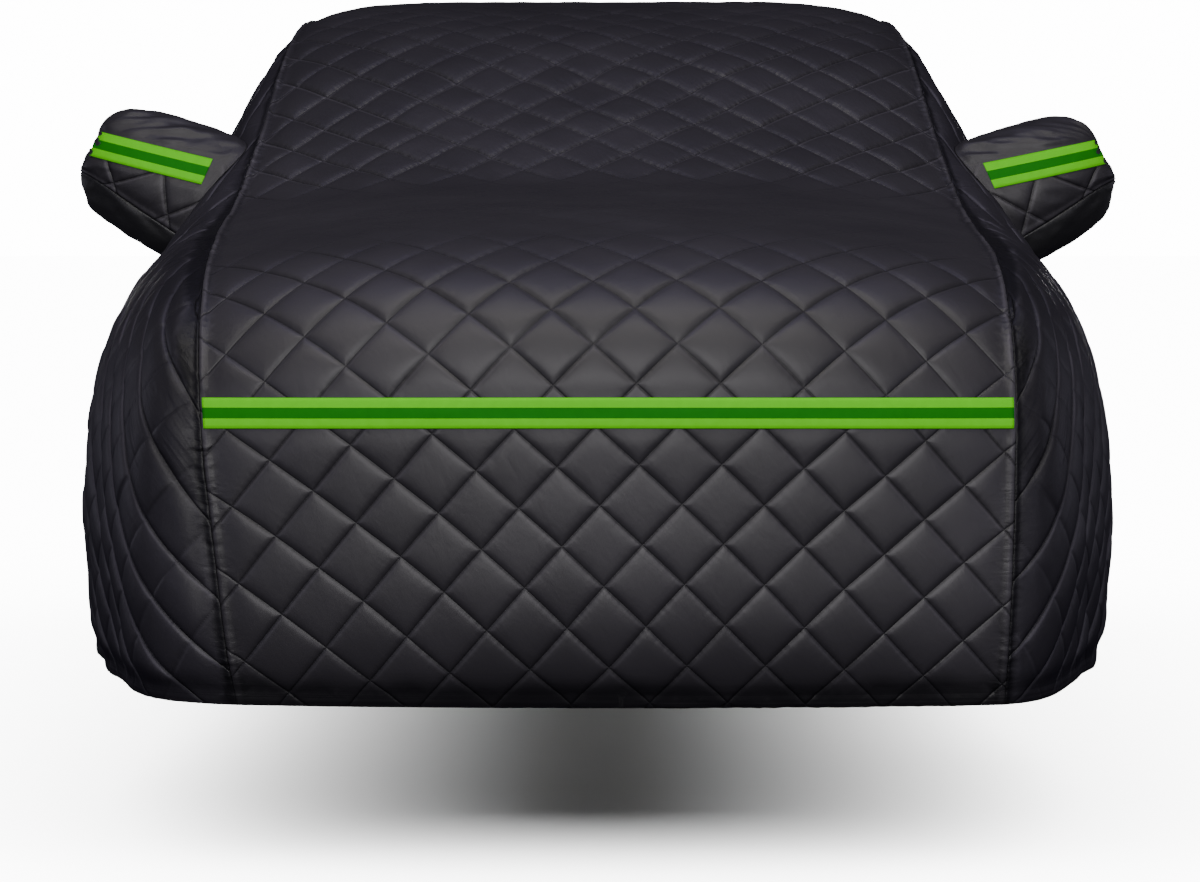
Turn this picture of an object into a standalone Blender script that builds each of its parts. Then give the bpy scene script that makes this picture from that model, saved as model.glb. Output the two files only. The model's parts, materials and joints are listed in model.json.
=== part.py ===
"""Fitted quilted cover for a saloon-sized car, hollow underneath.

Pieces: one centre panel from the front hem over nose, bonnet, windscreen,
roof and boot to the rear hem; two side panels; two mirror pockets, each with
a quilted hood and a plain gusset below it; one woven tape across the nose and
one on each pocket.  All the cloth is 3 mm thick and every piece is one closed
solid.

Metres, +Z up, +X to the cover's left-hand side as it faces -Y (the right-hand
side of a viewer who stands in front of it), nose towards -Y.  The tables are
written in ground coordinates, with y counted back from the nose and z up from
the ground; the finished pieces are shifted so that the origin is on the
underside of the cloth at the roof's highest point.
"""
import math

import bmesh
import bpy
import numpy as np
from mathutils import Vector
from mathutils.bvhtree import BVHTree

# --------------------------------------------------------------- main sizes
CLOTH = 0.0030            # quilted cloth
TAPE = 0.0012             # woven tape
TAPE_WIDTH = 0.049
SEAM_GAP = 0.0004         # between two panels that are sewn edge to edge
LIFT = 0.0006             # between a tape and the cloth that carries it
ROOF_Y, ROOF_Z = 2.700, 1.471          # highest point of the outer face
ORIGIN = np.array([0.0, ROOF_Y, ROOF_Z - CLOTH])

FRONT_FADE_Y, REAR_FADE_Y = 1.30, 3.30     # the corners' taper starts here
FRONT_AXLE_Y, REAR_AXLE_Y = 0.95, 3.60
TAPER_POWER, CORNER_POWER = 2.4, 30.0

# One row for each station along the cover, front hem to rear hem.
# y, z: the middle of the centre panel.  left, right: distance of the seams
# from the middle plane.  seam_y, seam_z: place of the seams.  round: power of
# the cross curve, low for an even crown, high for a flat top with round edges.
STATION_COLUMNS = ("name", "y", "z", "left", "right", "seam_y", "seam_z", "round")
STATIONS = (
    ("front hem",       0.068, 0.262, 0.580, 0.655, 0.108, 0.262, 2.4),
    ("under nose",      0.025, 0.335, 0.592, 0.659, 0.086, 0.333, 2.4),
    ("lower nose",      0.004, 0.430, 0.604, 0.663, 0.079, 0.425, 2.4),
    ("nose",            0.000, 0.550, 0.617, 0.667, 0.084, 0.540, 2.4),
    ("upper nose",      0.000, 0.680, 0.631, 0.670, 0.097, 0.652, 2.4),
    ("tape",            0.007, 0.785, 0.639, 0.672, 0.122, 0.752, 2.4),
    ("nose top",        0.034, 0.853, 0.644, 0.672, 0.165, 0.822, 2.4),
    ("leading edge",    0.076, 0.905, 0.647, 0.672, 0.212, 0.868, 2.4),
    ("corner",          0.130, 0.943, 0.649, 0.672, 0.265, 0.900, 2.5),
    ("bonnet lip",      0.200, 0.974, 0.652, 0.673, 0.328, 0.926, 2.5),
    ("bonnet front",    0.300, 1.002, 0.656, 0.675, 0.418, 0.949, 2.6),
    ("bonnet",          0.450, 1.025, 0.662, 0.678, 0.550, 0.970, 2.7),
    ("bonnet middle",   0.700, 1.048, 0.672, 0.683, 0.775, 0.989, 2.8),
    ("bonnet rear",     1.000, 1.068, 0.688, 0.689, 1.045, 1.005, 2.8),
    ("cowl",            1.200, 1.082, 0.693, 0.692, 1.250, 1.022, 2.7),
    ("glass foot",      1.340, 1.104, 0.689, 0.689, 1.410, 1.048, 2.6),
    ("lower glass",     1.480, 1.165, 0.676, 0.676, 1.555, 1.107, 2.6),
    ("glass",           1.660, 1.255, 0.658, 0.658, 1.720, 1.196, 2.8),
    ("upper glass",     1.850, 1.349, 0.641, 0.641, 1.885, 1.292, 3.4),
    ("header",          1.990, 1.396, 0.632, 0.632, 2.005, 1.345, 4.2),
    ("roof front",      2.160, 1.432, 0.625, 0.625, 2.165, 1.387, 5.4),
    ("roof",            2.400, 1.461, 0.620, 0.620, 2.405, 1.414, 6.4),
    ("roof top",        2.700, 1.471, 0.618, 0.618, 2.700, 1.425, 6.6),
    ("roof rear",       3.000, 1.466, 0.617, 0.617, 3.000, 1.421, 6.0),
    ("rear header",     3.260, 1.447, 0.617, 0.617, 3.255, 1.402, 4.4),
    ("rear glass top",  3.480, 1.398, 0.620, 0.620, 3.465, 1.356, 3.6),
    ("rear glass",      3.740, 1.292, 0.630, 0.630, 3.715, 1.254, 3.0),
    ("rear glass foot", 3.990, 1.187, 0.642, 0.642, 3.950, 1.150, 2.8),
    ("boot front",      4.170, 1.137, 0.650, 0.650, 4.115, 1.092, 2.7),
    ("boot",            4.350, 1.110, 0.654, 0.654, 4.270, 1.054, 2.6),
    ("boot lip",        4.480, 1.070, 0.655, 0.655, 4.375, 1.010, 2.5),
    ("tail corner",     4.555, 1.000, 0.654, 0.654, 4.440, 0.950, 2.4),
    ("tail top",        4.592, 0.900, 0.651, 0.651, 4.478, 0.868, 2.4),
    ("tail",            4.602, 0.760, 0.646, 0.646, 4.492, 0.742, 2.4),
    ("lower tail",      4.600, 0.580, 0.638, 0.638, 4.492, 0.572, 2.4),
    ("under tail",      4.578, 0.420, 0.628, 0.628, 4.470, 0.417, 2.4),
    ("rear hem",        4.520, 0.262, 0.612, 0.612, 4.415, 0.262, 2.4),
)
FRONT_CORNER, REAR_CORNER = "corner", "tail corner"

# One row for each level line round a side panel.  half: half the width of the
# cover there.  pull: how far the cloth draws in between the axles.
# front_taper, rear_taper: how far the plan narrows before the corner.
LEVEL_COLUMNS = ("name", "z_front", "z_middle", "z_rear", "half", "pull", "front_taper", "rear_taper")
LEVELS = (
    ("hem",      0.262, 0.262, 0.262, 0.899, 0.034, 0.200, 0.150),
    ("sill",     0.400, 0.420, 0.420, 0.912, 0.018, 0.200, 0.150),
    ("waist",    0.560, 0.580, 0.580, 0.917, 0.007, 0.192, 0.148),
    ("shoulder", 0.730, 0.755, 0.765, 0.895, 0.002, 0.180, 0.140),
)
# Above the shoulder the cloth follows a curve with two handles.  Each handle
# is given as its share of the way in plan and its share of the rise, from the
# shoulder level to the seam.
HANDLE_COLUMNS = ("name", "y", "low_plan", "low_rise", "high_plan", "high_rise")
HANDLES = (
    ("nose corner", 0.20, 0.17, 0.50, 0.49, 0.86),
    ("fender",      0.90, 0.17, 0.57, 0.49, 0.90),
    ("cowl",        1.40, 0.16, 0.50, 0.50, 0.86),
    ("mirror",      1.75, 0.19, 0.42, 0.64, 0.84),
    ("front door",  2.20, 0.24, 0.36, 0.79, 0.88),
    ("rear door",   3.05, 0.24, 0.36, 0.79, 0.88),
    ("rear pillar", 3.60, 0.20, 0.43, 0.65, 0.86),
    ("boot side",   4.10, 0.15, 0.56, 0.48, 0.88),
    ("tail corner", 4.40, 0.16, 0.52, 0.48, 0.86),
)
HANDLE_SHARES = (0.30, 0.58, 0.82)
ROW_SHARES = (0.0, 0.17, 0.34, 0.50, 0.63, 0.76, 0.88, 1.0)

# Long soft folds of the side panels: length of one wave, depth, phase, and how
# far below the shoulder they fade in.
FOLD_COLUMNS = ("wave", "depth", "lean", "left_phase", "right_phase")
FOLDS = (
    (0.71, 0.0050, 0.35, 0.4, 2.1),
    (0.43, 0.0032, -0.30, 1.7, 0.2),
    (0.27, 0.0016, 0.55, 2.9, 1.1),
)

# Root of a mirror pocket on the side panel (y, z), and the end that it is
# drawn out to before the tip rounds it off.  share: place round the pocket,
# from the front end of the gusset seam over the top to its rear end and back
# underneath.
POCKET_COLUMNS = ("name", "root_y", "root_z", "end_y", "end_z")
POCKET_HOOD = (
    ("front seam", 1.628, 0.988, 1.668, 1.112),
    ("front low",  1.612, 1.040, 1.650, 1.145),
    ("front",      1.618, 1.092, 1.650, 1.180),
    ("front high", 1.640, 1.131, 1.662, 1.220),
    ("top front",  1.680, 1.158, 1.690, 1.246),
    ("top",        1.740, 1.168, 1.735, 1.257),
    ("top rear",   1.800, 1.160, 1.785, 1.248),
    ("rear high",  1.845, 1.133, 1.820, 1.220),
    ("rear",       1.868, 1.088, 1.838, 1.180),
    ("rear low",   1.874, 1.036, 1.840, 1.145),
    ("rear seam",  1.866, 0.988, 1.830, 1.112),
)
POCKET_GUSSET = (
    ("rear seam",  1.866, 0.988, 1.830, 1.112),
    ("rear foot",  1.842, 0.958, 1.812, 1.066),
    ("rear under", 1.790, 0.944, 1.775, 1.036),
    ("front under", 1.712, 0.944, 1.722, 1.030),
    ("front foot", 1.655, 0.955, 1.686, 1.052),
    ("front seam", 1.628, 0.988, 1.668, 1.112),
)
POCKET_END_X = 1.015
POCKET_TIP = {"y": 1.748, "top_z": 1.152, "seam_z": 1.112, "foot_z": 1.062}
POCKET_TIP_POWER = 3.0
POCKET_DROOP = {-1: 0.0, 1: 0.016}         # the right one hangs a little lower
POCKET_STAND_OFF = 0.0016
POCKET_TAPE_COLUMNS = ("name", "offset", "inner_x", "inner_z", "outer_x", "outer_z")
POCKET_TAPE = (
    ("lower edge", -0.5, 0.768, 1.111, 0.999, 1.169),
    ("middle",      0.0, 0.757, 1.111, 0.994, 1.169),
    ("upper edge",  0.5, 0.747, 1.111, 0.986, 1.169),
)

# Mesh steps
ACROSS = 12
GRADED_SHARES = (0.0, 0.0045, 0.011, 0.021, 0.036, 0.060, 0.090)
EVEN_STEP = 0.0345
PANEL_ROWS = (0.0, 0.09, 0.19, 0.31, 0.43, 0.535, 0.64, 0.74, 0.84, 0.925, 1.0)
POCKET_STEPS = (0.0, 0.26, 0.50, 0.70, 0.84, 0.935, 0.985, 1.0)
HOLE = {"front_y": 1.690, "rear_y": 1.785, "low_row": 0.74, "high_row": 0.84}


# --------------------------------------------------------- curves through tables
def spline(knots, values):
    """Natural cubic curve through the rows of a table."""
    knots = np.asarray(knots, float)
    values = np.asarray(values, float)
    if values.ndim == 1:
        values = values[:, None]
    count = len(knots)
    step = np.diff(knots)
    system = np.eye(count)
    right = np.zeros_like(values)
    for i in range(1, count - 1):
        system[i, i - 1] = step[i - 1]
        system[i, i] = 2.0 * (step[i - 1] + step[i])
        system[i, i + 1] = step[i]
        right[i] = 6.0 * ((values[i + 1] - values[i]) / step[i]
                          - (values[i] - values[i - 1]) / step[i - 1])
    bend = np.linalg.solve(system, right)

    def at(u):
        u = np.clip(np.asarray(u, float), knots[0], knots[-1])
        i = np.clip(np.searchsorted(knots, u, side="right") - 1, 0, count - 2)
        h = knots[i + 1] - knots[i]
        a = ((knots[i + 1] - u) / h)[..., None]
        b = ((u - knots[i]) / h)[..., None]
        h = h[..., None]
        return (a * values[i] + b * values[i + 1]
                + ((a ** 3 - a) * bend[i] + (b ** 3 - b) * bend[i + 1]) * h * h / 6.0)

    return at


def column(table, names, name):
    return np.array([row[names.index(name)] for row in table], float)


def unit(v):
    return v / np.maximum(np.linalg.norm(v, axis=-1, keepdims=True), 1e-12)


# ------------------------------------------------------------- centre panel
MID_Y = column(STATIONS, STATION_COLUMNS, "y")
MID_Z = column(STATIONS, STATION_COLUMNS, "z")
KNOTS = np.concatenate(([0.0], np.cumsum(np.hypot(np.diff(MID_Y), np.diff(MID_Z)))))
STATION = spline(KNOTS, np.stack([column(STATIONS, STATION_COLUMNS, n)
                                  for n in STATION_COLUMNS[1:]], axis=1))
STATION_NAMES = [row[0] for row in STATIONS]
V_FRONT = KNOTS[STATION_NAMES.index(FRONT_CORNER)]
V_REAR = KNOTS[STATION_NAMES.index(REAR_CORNER)]
V_END = KNOTS[-1]


def centre(t, v):
    """Outer face of the centre panel: t from -1 (left seam) to 1, v along it."""
    t, v = np.broadcast_arrays(np.asarray(t, float), np.asarray(v, float))
    y, z, left, right, seam_y, seam_z, power = np.moveaxis(STATION(v), -1, 0)
    x = 0.5 * (right - left) + 0.5 * (right + left) * t
    f = np.abs(t) ** power
    return np.stack([x, y + (seam_y - y) * f, z + (seam_z - z) * f], axis=-1)


def seam(sign, v):
    return centre(np.full(np.shape(v), float(sign)), v)


# --------------------------------------------------------------- side panels
V_SAMPLES = np.linspace(0.0, V_END, 6001)
SEAM_SAMPLES = seam(1, V_SAMPLES)
ON_NOSE = V_SAMPLES <= V_FRONT + 1e-9
ON_TOP = (V_SAMPLES >= V_FRONT - 1e-9) & (V_SAMPLES <= V_REAR + 1e-9)
ON_TAIL = V_SAMPLES >= V_REAR - 1e-9


def v_on_nose(z):
    return np.interp(z, SEAM_SAMPLES[ON_NOSE, 2], V_SAMPLES[ON_NOSE])


def v_on_tail(z):
    return np.interp(z, SEAM_SAMPLES[ON_TAIL, 2][::-1], V_SAMPLES[ON_TAIL][::-1])


def v_on_top(c):
    low, high = seam(1, np.array([V_FRONT, V_REAR]))[:, 1]
    return np.interp(low + (high - low) * np.asarray(c, float),
                     SEAM_SAMPLES[ON_TOP, 1], V_SAMPLES[ON_TOP])


HANDLE = spline(column(HANDLES, HANDLE_COLUMNS, "y"),
                np.stack([column(HANDLES, HANDLE_COLUMNS, n)
                          for n in HANDLE_COLUMNS[2:]], axis=1))


def level_line(sign, level, c):
    """Plan curve of one level, c from 0 at the nose seam to 1 at the tail seam."""
    _, z_front, z_middle, z_rear, half, pull, front_taper, rear_taper = level
    nose = seam(sign, np.array([v_on_nose(z_front)]))[0]
    tail = seam(sign, np.array([v_on_tail(z_rear)]))[0]
    y = nose[1] + (tail[1] - nose[1]) * c
    between = np.clip((y - FRONT_AXLE_Y) / (REAR_AXLE_Y - FRONT_AXLE_Y), 0.0, 1.0)
    x = half - pull * np.sin(math.pi * between) ** 2
    front = np.clip((FRONT_FADE_Y - y) / (FRONT_FADE_Y - nose[1]), 0.0, 1.0)
    rear = np.clip((y - REAR_FADE_Y) / (tail[1] - REAR_FADE_Y), 0.0, 1.0)
    x = x - front_taper * front ** TAPER_POWER - (half - front_taper - abs(nose[0])) * front ** CORNER_POWER
    x = x - rear_taper * rear ** TAPER_POWER - (half - rear_taper - abs(tail[0])) * rear ** CORNER_POWER
    z = z_middle + (nose[2] - z_middle) * front ** 2 + (tail[2] - z_middle) * rear ** 2
    return np.stack([sign * x, y, z], axis=-1)


def panel_rows(sign, c):
    """The rows of one side panel at c: four levels, three shoulder rows, the seam."""
    rows = [level_line(sign, level, c) for level in LEVELS]
    shoulder, top = rows[-1], seam(sign, v_on_top(c))
    low_plan, low_rise, high_plan, high_rise = np.moveaxis(HANDLE(shoulder[..., 1]), -1, 0)
    way = top - shoulder
    low = shoulder + way * np.stack([low_plan, low_plan, low_rise], axis=-1)
    high = shoulder + way * np.stack([high_plan, high_plan, high_rise], axis=-1)
    for s in HANDLE_SHARES:
        rows.append((1 - s) ** 3 * shoulder + 3 * s * (1 - s) ** 2 * low
                    + 3 * s * s * (1 - s) * high + s ** 3 * top)
    rows.append(top)
    return np.stack(rows, axis=0)


ROW_WEIGHTS = spline(ROW_SHARES, np.eye(len(ROW_SHARES)))
END_ROWS = panel_rows(1, np.array([0.0, 1.0]))
NOSE_V = spline(ROW_SHARES, v_on_nose(END_ROWS[:, 0, 2]))
TAIL_V = spline(ROW_SHARES, v_on_tail(END_ROWS[:, 1, 2]))


def folds(sign, c, w):
    """Depth of the long soft folds, none along the seams."""
    y = 4.4 * c
    fade = np.clip(c / 0.10, 0, 1) * np.clip((1 - c) / 0.10, 0, 1)
    fade = fade * fade * (3 - 2 * fade)
    fall = np.clip((0.86 - w) / 0.86, 0, 1) ** 1.3
    depth = np.zeros(np.broadcast(c, w).shape)
    for wave, size, lean, left_phase, right_phase in FOLDS:
        phase = left_phase if sign < 0 else right_phase
        swing = np.sin(2 * math.pi * (y + lean * w) / wave + phase
                       + 1.1 * np.sin(2 * math.pi * y / (2.7 * wave) + 2.0 * phase))
        depth = depth + size * swing
    return depth * fall * fade


def side_base(sign, c, w):
    c, w = np.broadcast_arrays(np.asarray(c, float), np.asarray(w, float))
    weights = ROW_WEIGHTS(w)
    rows = np.moveaxis(panel_rows(sign, c), 0, -2)
    point = np.einsum("...i,...ij->...j", weights, rows)
    ends = np.moveaxis(panel_rows(sign, np.array([0.0, 1.0])), 0, 1)
    nose = np.einsum("...i,ij->...j", weights, ends[0])
    tail = np.einsum("...i,ij->...j", weights, ends[1])
    front = np.clip(1 - c / 0.16, 0, 1)[..., None] ** 3
    rear = np.clip(1 - (1 - c) / 0.16, 0, 1)[..., None] ** 3
    return (point + (seam(sign, NOSE_V(w)[..., 0]) - nose) * front
            + (seam(sign, TAIL_V(w)[..., 0]) - tail) * rear)


def side_normal(sign, c, w, surface):
    e = 1e-4
    dc = surface(sign, np.minimum(c + e, 1), w) - surface(sign, np.maximum(c - e, 0), w)
    dw = surface(sign, c, np.minimum(w + e, 1)) - surface(sign, c, np.maximum(w - e, 0))
    return sign * unit(np.cross(dc, dw))


def side(sign, c, w):
    """Outer face of a side panel: c from nose seam to tail seam, w from hem to top."""
    c, w = np.broadcast_arrays(np.asarray(c, float), np.asarray(w, float))
    return side_base(sign, c, w) + folds(sign, c, w)[..., None] * side_normal(sign, c, w, side_base)


def centre_normal(t, v):
    e = 1e-4
    dt = centre(np.minimum(t + e, 1), v) - centre(np.maximum(t - e, -1), v)
    dv = centre(t, np.minimum(v + e, V_END)) - centre(t, np.maximum(v - e, 0))
    return unit(np.cross(dt, dv))


# --------------------------------------------------------- shared panel steps
def column_shares():
    start, stop = GRADED_SHARES[-1], 1.0 - GRADED_SHARES[-1]
    count = int(round((stop - start) / EVEN_STEP))
    even = [start + (stop - start) * i / count for i in range(1, count)]
    shares = list(GRADED_SHARES) + even + [1.0 - s for s in reversed(GRADED_SHARES)]
    low, high = seam(1, np.array([V_FRONT, V_REAR]))[:, 1]
    for y in (HOLE["front_y"], 0.5 * (HOLE["front_y"] + HOLE["rear_y"]), HOLE["rear_y"]):
        share = (y - low) / (high - low)
        nearest = min(range(len(shares)), key=lambda i: abs(shares[i] - share))
        if abs(shares[nearest] - share) < 0.45 * EVEN_STEP:
            shares[nearest] = share
        else:
            shares.append(share)
            shares.sort()
    return np.array(shares)


C_SHARES = column_shares()
W_SHARES = np.array(PANEL_ROWS)
V_STEPS = np.concatenate([NOSE_V(W_SHARES)[:-1, 0], v_on_top(C_SHARES), TAIL_V(W_SHARES)[::-1, 0][1:]])
V_STEPS[0], V_STEPS[-1] = 0.0, V_END


def seam_mitre(sign):
    """Direction shared by the two panels' edges at each step along a seam."""
    nose = side_normal(sign, np.zeros(len(W_SHARES) - 1), W_SHARES[:-1], side_base)
    top = side_normal(sign, C_SHARES, np.ones(len(C_SHARES)), side_base)
    tail = side_normal(sign, np.ones(len(W_SHARES) - 1), W_SHARES[::-1][1:], side_base)
    outer = np.concatenate([nose, top, tail])
    return unit(outer + centre_normal(np.full(len(V_STEPS), float(sign)), V_STEPS))


# ------------------------------------------------------------------- solids
def clear_scene():
    for thing in list(bpy.data.objects):
        bpy.data.objects.remove(thing, do_unlink=True)


def cloth_material(name, colour, roughness, sheen=0.0):
    material = bpy.data.materials.new(name)
    material.use_nodes = True
    shader = material.node_tree.nodes["Principled BSDF"]
    shader.inputs["Base Color"].default_value = (*colour, 1.0)
    shader.inputs["Roughness"].default_value = roughness
    shader.inputs["Metallic"].default_value = 0.0
    shader.inputs["Sheen Weight"].default_value = sheen
    material.diffuse_color = (*colour, 1.0)
    return material


def closed_sheet(name, outer, inner, quads, material, parent):
    """One solid between two matching skins; the rim closes every open edge."""
    outer = np.asarray(outer, float) - ORIGIN
    inner = np.asarray(inner, float) - ORIGIN
    count = len(outer)
    mesh = bmesh.new()
    verts = [mesh.verts.new(p) for p in np.concatenate([outer, inner])]
    mesh.verts.ensure_lookup_table()
    edges = {}

    def triangles(ring):
        a, b, c, d = ring
        if len({a, b, c, d}) < 4:
            ring = [k for i, k in enumerate(ring) if k not in ring[:i]]
            return [tuple(ring)] if len(ring) == 3 else []
        return [(a, b, c), (a, c, d)]

    faces = []
    for ring in quads:
        for face in triangles(ring):
            faces.append(face)
            for i in range(3):
                edge = (face[i], face[(i + 1) % 3])
                edges[edge] = edges.get(edge, 0) + 1
    for a, b, c in faces:
        mesh.faces.new((verts[a], verts[b], verts[c]))
        mesh.faces.new((verts[c + count], verts[b + count], verts[a + count]))
    # two panels that meet at a seam fold their rims along the same diagonals
    along = outer[:, 1] + 0.61 * outer[:, 2]
    for (a, b) in list(edges):
        if (b, a) in edges:
            continue
        if along[a] < along[b]:
            mesh.faces.new((verts[b], verts[a], verts[b + count]))
            mesh.faces.new((verts[a], verts[a + count], verts[b + count]))
        else:
            mesh.faces.new((verts[b], verts[a], verts[a + count]))
            mesh.faces.new((verts[b], verts[a + count], verts[b + count]))
    loose = [v for v in mesh.verts if not v.link_faces]
    bmesh.ops.delete(mesh, geom=loose, context="VERTS")
    data = bpy.data.meshes.new(name)
    mesh.to_mesh(data)
    mesh.free()
    data.shade_smooth()
    data.set_sharp_from_angle(angle=math.radians(40))
    data.materials.append(material)
    thing = bpy.data.objects.new(name, data)
    bpy.context.scene.collection.objects.link(thing)
    thing.parent = parent
    return thing


def grid_quads(rows, columns, flip, skip=lambda i, j: False):
    quads = []
    for i in range(rows - 1):
        for j in range(columns - 1):
            if skip(i, j):
                continue
            ring = [i * columns + j, i * columns + j + 1, (i + 1) * columns + j + 1, (i + 1) * columns + j]
            quads.append(ring[::-1] if flip else ring)
    return quads


def draw_in(edge, neighbour, amount):
    return edge + unit(neighbour - edge) * amount


def make_centre_panel(material, parent):
    t = np.linspace(-1, 1, ACROSS + 1)
    grid_t, grid_v = np.meshgrid(t, V_STEPS)
    outer = centre(grid_t, grid_v)
    normal = centre_normal(grid_t, grid_v)
    normal[:, 0], normal[:, -1] = seam_mitre(-1), seam_mitre(1)
    outer[:, 0] = draw_in(outer[:, 0], outer[:, 1], 0.5 * SEAM_GAP)
    outer[:, -1] = draw_in(outer[:, -1], outer[:, -2], 0.5 * SEAM_GAP)
    inner = outer - CLOTH * normal
    quads = grid_quads(len(V_STEPS), len(t), flip=False)
    return closed_sheet("centre_panel", outer.reshape(-1, 3), inner.reshape(-1, 3), quads, material, parent)


def make_side_panel(name, sign, material, parent):
    grid_w, grid_c = np.meshgrid(W_SHARES, C_SHARES, indexing="ij")
    outer = side(sign, grid_c, grid_w)
    normal = side_normal(sign, grid_c, grid_w, side)
    mitre = seam_mitre(sign)
    rows, columns = len(W_SHARES), len(C_SHARES)
    normal[:-1, 0] = mitre[:rows - 1]
    normal[-1, :] = mitre[rows - 1:rows - 1 + columns]
    normal[:-1, -1] = mitre[rows - 1 + columns:][::-1]
    half = 0.5 * SEAM_GAP
    shift = np.zeros_like(outer)
    shift[:, 0] += draw_in(outer[:, 0], outer[:, 1], half) - outer[:, 0]
    shift[:, -1] += draw_in(outer[:, -1], outer[:, -2], half) - outer[:, -1]
    shift[-1, :] += draw_in(outer[-1], outer[-2], half) - outer[-1]
    outer = outer + shift
    inner = outer - CLOTH * normal

    low, high = seam(1, np.array([V_FRONT, V_REAR]))[:, 1]
    first = int(np.argmin(np.abs(C_SHARES - (HOLE["front_y"] - low) / (high - low))))
    last = int(np.argmin(np.abs(C_SHARES - (HOLE["rear_y"] - low) / (high - low))))
    bottom = int(np.argmin(np.abs(W_SHARES - HOLE["low_row"])))
    top = int(np.argmin(np.abs(W_SHARES - HOLE["high_row"])))
    quads = grid_quads(rows, columns, flip=sign < 0,
                       skip=lambda i, j: bottom <= i < top and first <= j < last)
    return closed_sheet(name, outer.reshape(-1, 3), inner.reshape(-1, 3), quads, material, parent)


def tree_of(thing):
    data = thing.data
    points = [Vector(v.co) for v in data.vertices]
    return BVHTree.FromPolygons(points, [tuple(p.vertices) for p in data.polygons])


def cast(tree, start, direction):
    """First point of a solid met from start, given and returned in ground coordinates."""
    hit = tree.ray_cast(Vector(np.asarray(start) - ORIGIN), Vector(direction))[0]
    if hit is None:
        raise ValueError("nothing met from %s" % (list(start),))
    return np.array(hit) + ORIGIN


def pocket_faces(sign, hood_parent_tree):
    """Outer and inner skin of a whole pocket, ring by ring from root to tip."""
    droop = POCKET_DROOP[sign]
    ring = [(row, True) for row in POCKET_HOOD] + [(row, False) for row in POCKET_GUSSET[1:-1]]
    hood = len(POCKET_HOOD)
    around = len(ring)
    half = hood // 2
    outer = np.zeros((len(POCKET_STEPS), around, 3))
    root, tip = np.zeros((around, 3)), np.zeros((around, 3))
    end = np.zeros((around, 3))
    for k, (row, _) in enumerate(ring):
        _, root_y, root_z, end_y, end_z = row
        z = root_z - 0.5 * droop
        hit = cast(hood_parent_tree, (sign * 1.30, root_y, z), (-sign, 0, 0))
        root[k] = (hit[0] + sign * POCKET_STAND_OFF, root_y, z)
        end[k] = (sign * POCKET_END_X, end_y, end_z - droop)
        if k < hood:
            up = 1.0 - abs(k - half) / half
            tip_z = POCKET_TIP["seam_z"] + (POCKET_TIP["top_z"] - POCKET_TIP["seam_z"]) * up
        else:
            under = 1.0 - abs(k - (hood - 1) - 0.5 * (around - hood + 1)) / (0.5 * (around - hood + 1))
            tip_z = POCKET_TIP["seam_z"] + (POCKET_TIP["foot_z"] - POCKET_TIP["seam_z"]) * under
        tip[k] = (sign * POCKET_END_X, POCKET_TIP["y"], tip_z - droop)
    for j, s in enumerate(POCKET_STEPS):
        closing = 1.0 - (1.0 - s ** POCKET_TIP_POWER) ** (1.0 / POCKET_TIP_POWER)
        loft = root + (end - root) * s
        outer[j] = loft + (tip - loft) * closing
        outer[j, :, 0] = root[:, 0] + (sign * POCKET_END_X - root[:, 0]) * s
    outer[-1] = tip
    return outer, hood, around


def pocket_normals(outer, sign):
    steps, around, _ = outer.shape
    normal = np.zeros_like(outer)
    for j in range(steps - 1):
        for k in range(around):
            a, b = outer[j, k], outer[j, (k + 1) % around]
            c, d = outer[j + 1, (k + 1) % around], outer[j + 1, k]
            n = np.cross(c - a, d - b) * sign
            for jj, kk in ((j, k), (j, (k + 1) % around), (j + 1, (k + 1) % around), (j + 1, k)):
                normal[jj, kk] += n
    normal[-1] = (sign, 0.0, 0.0)
    return unit(normal)


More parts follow.
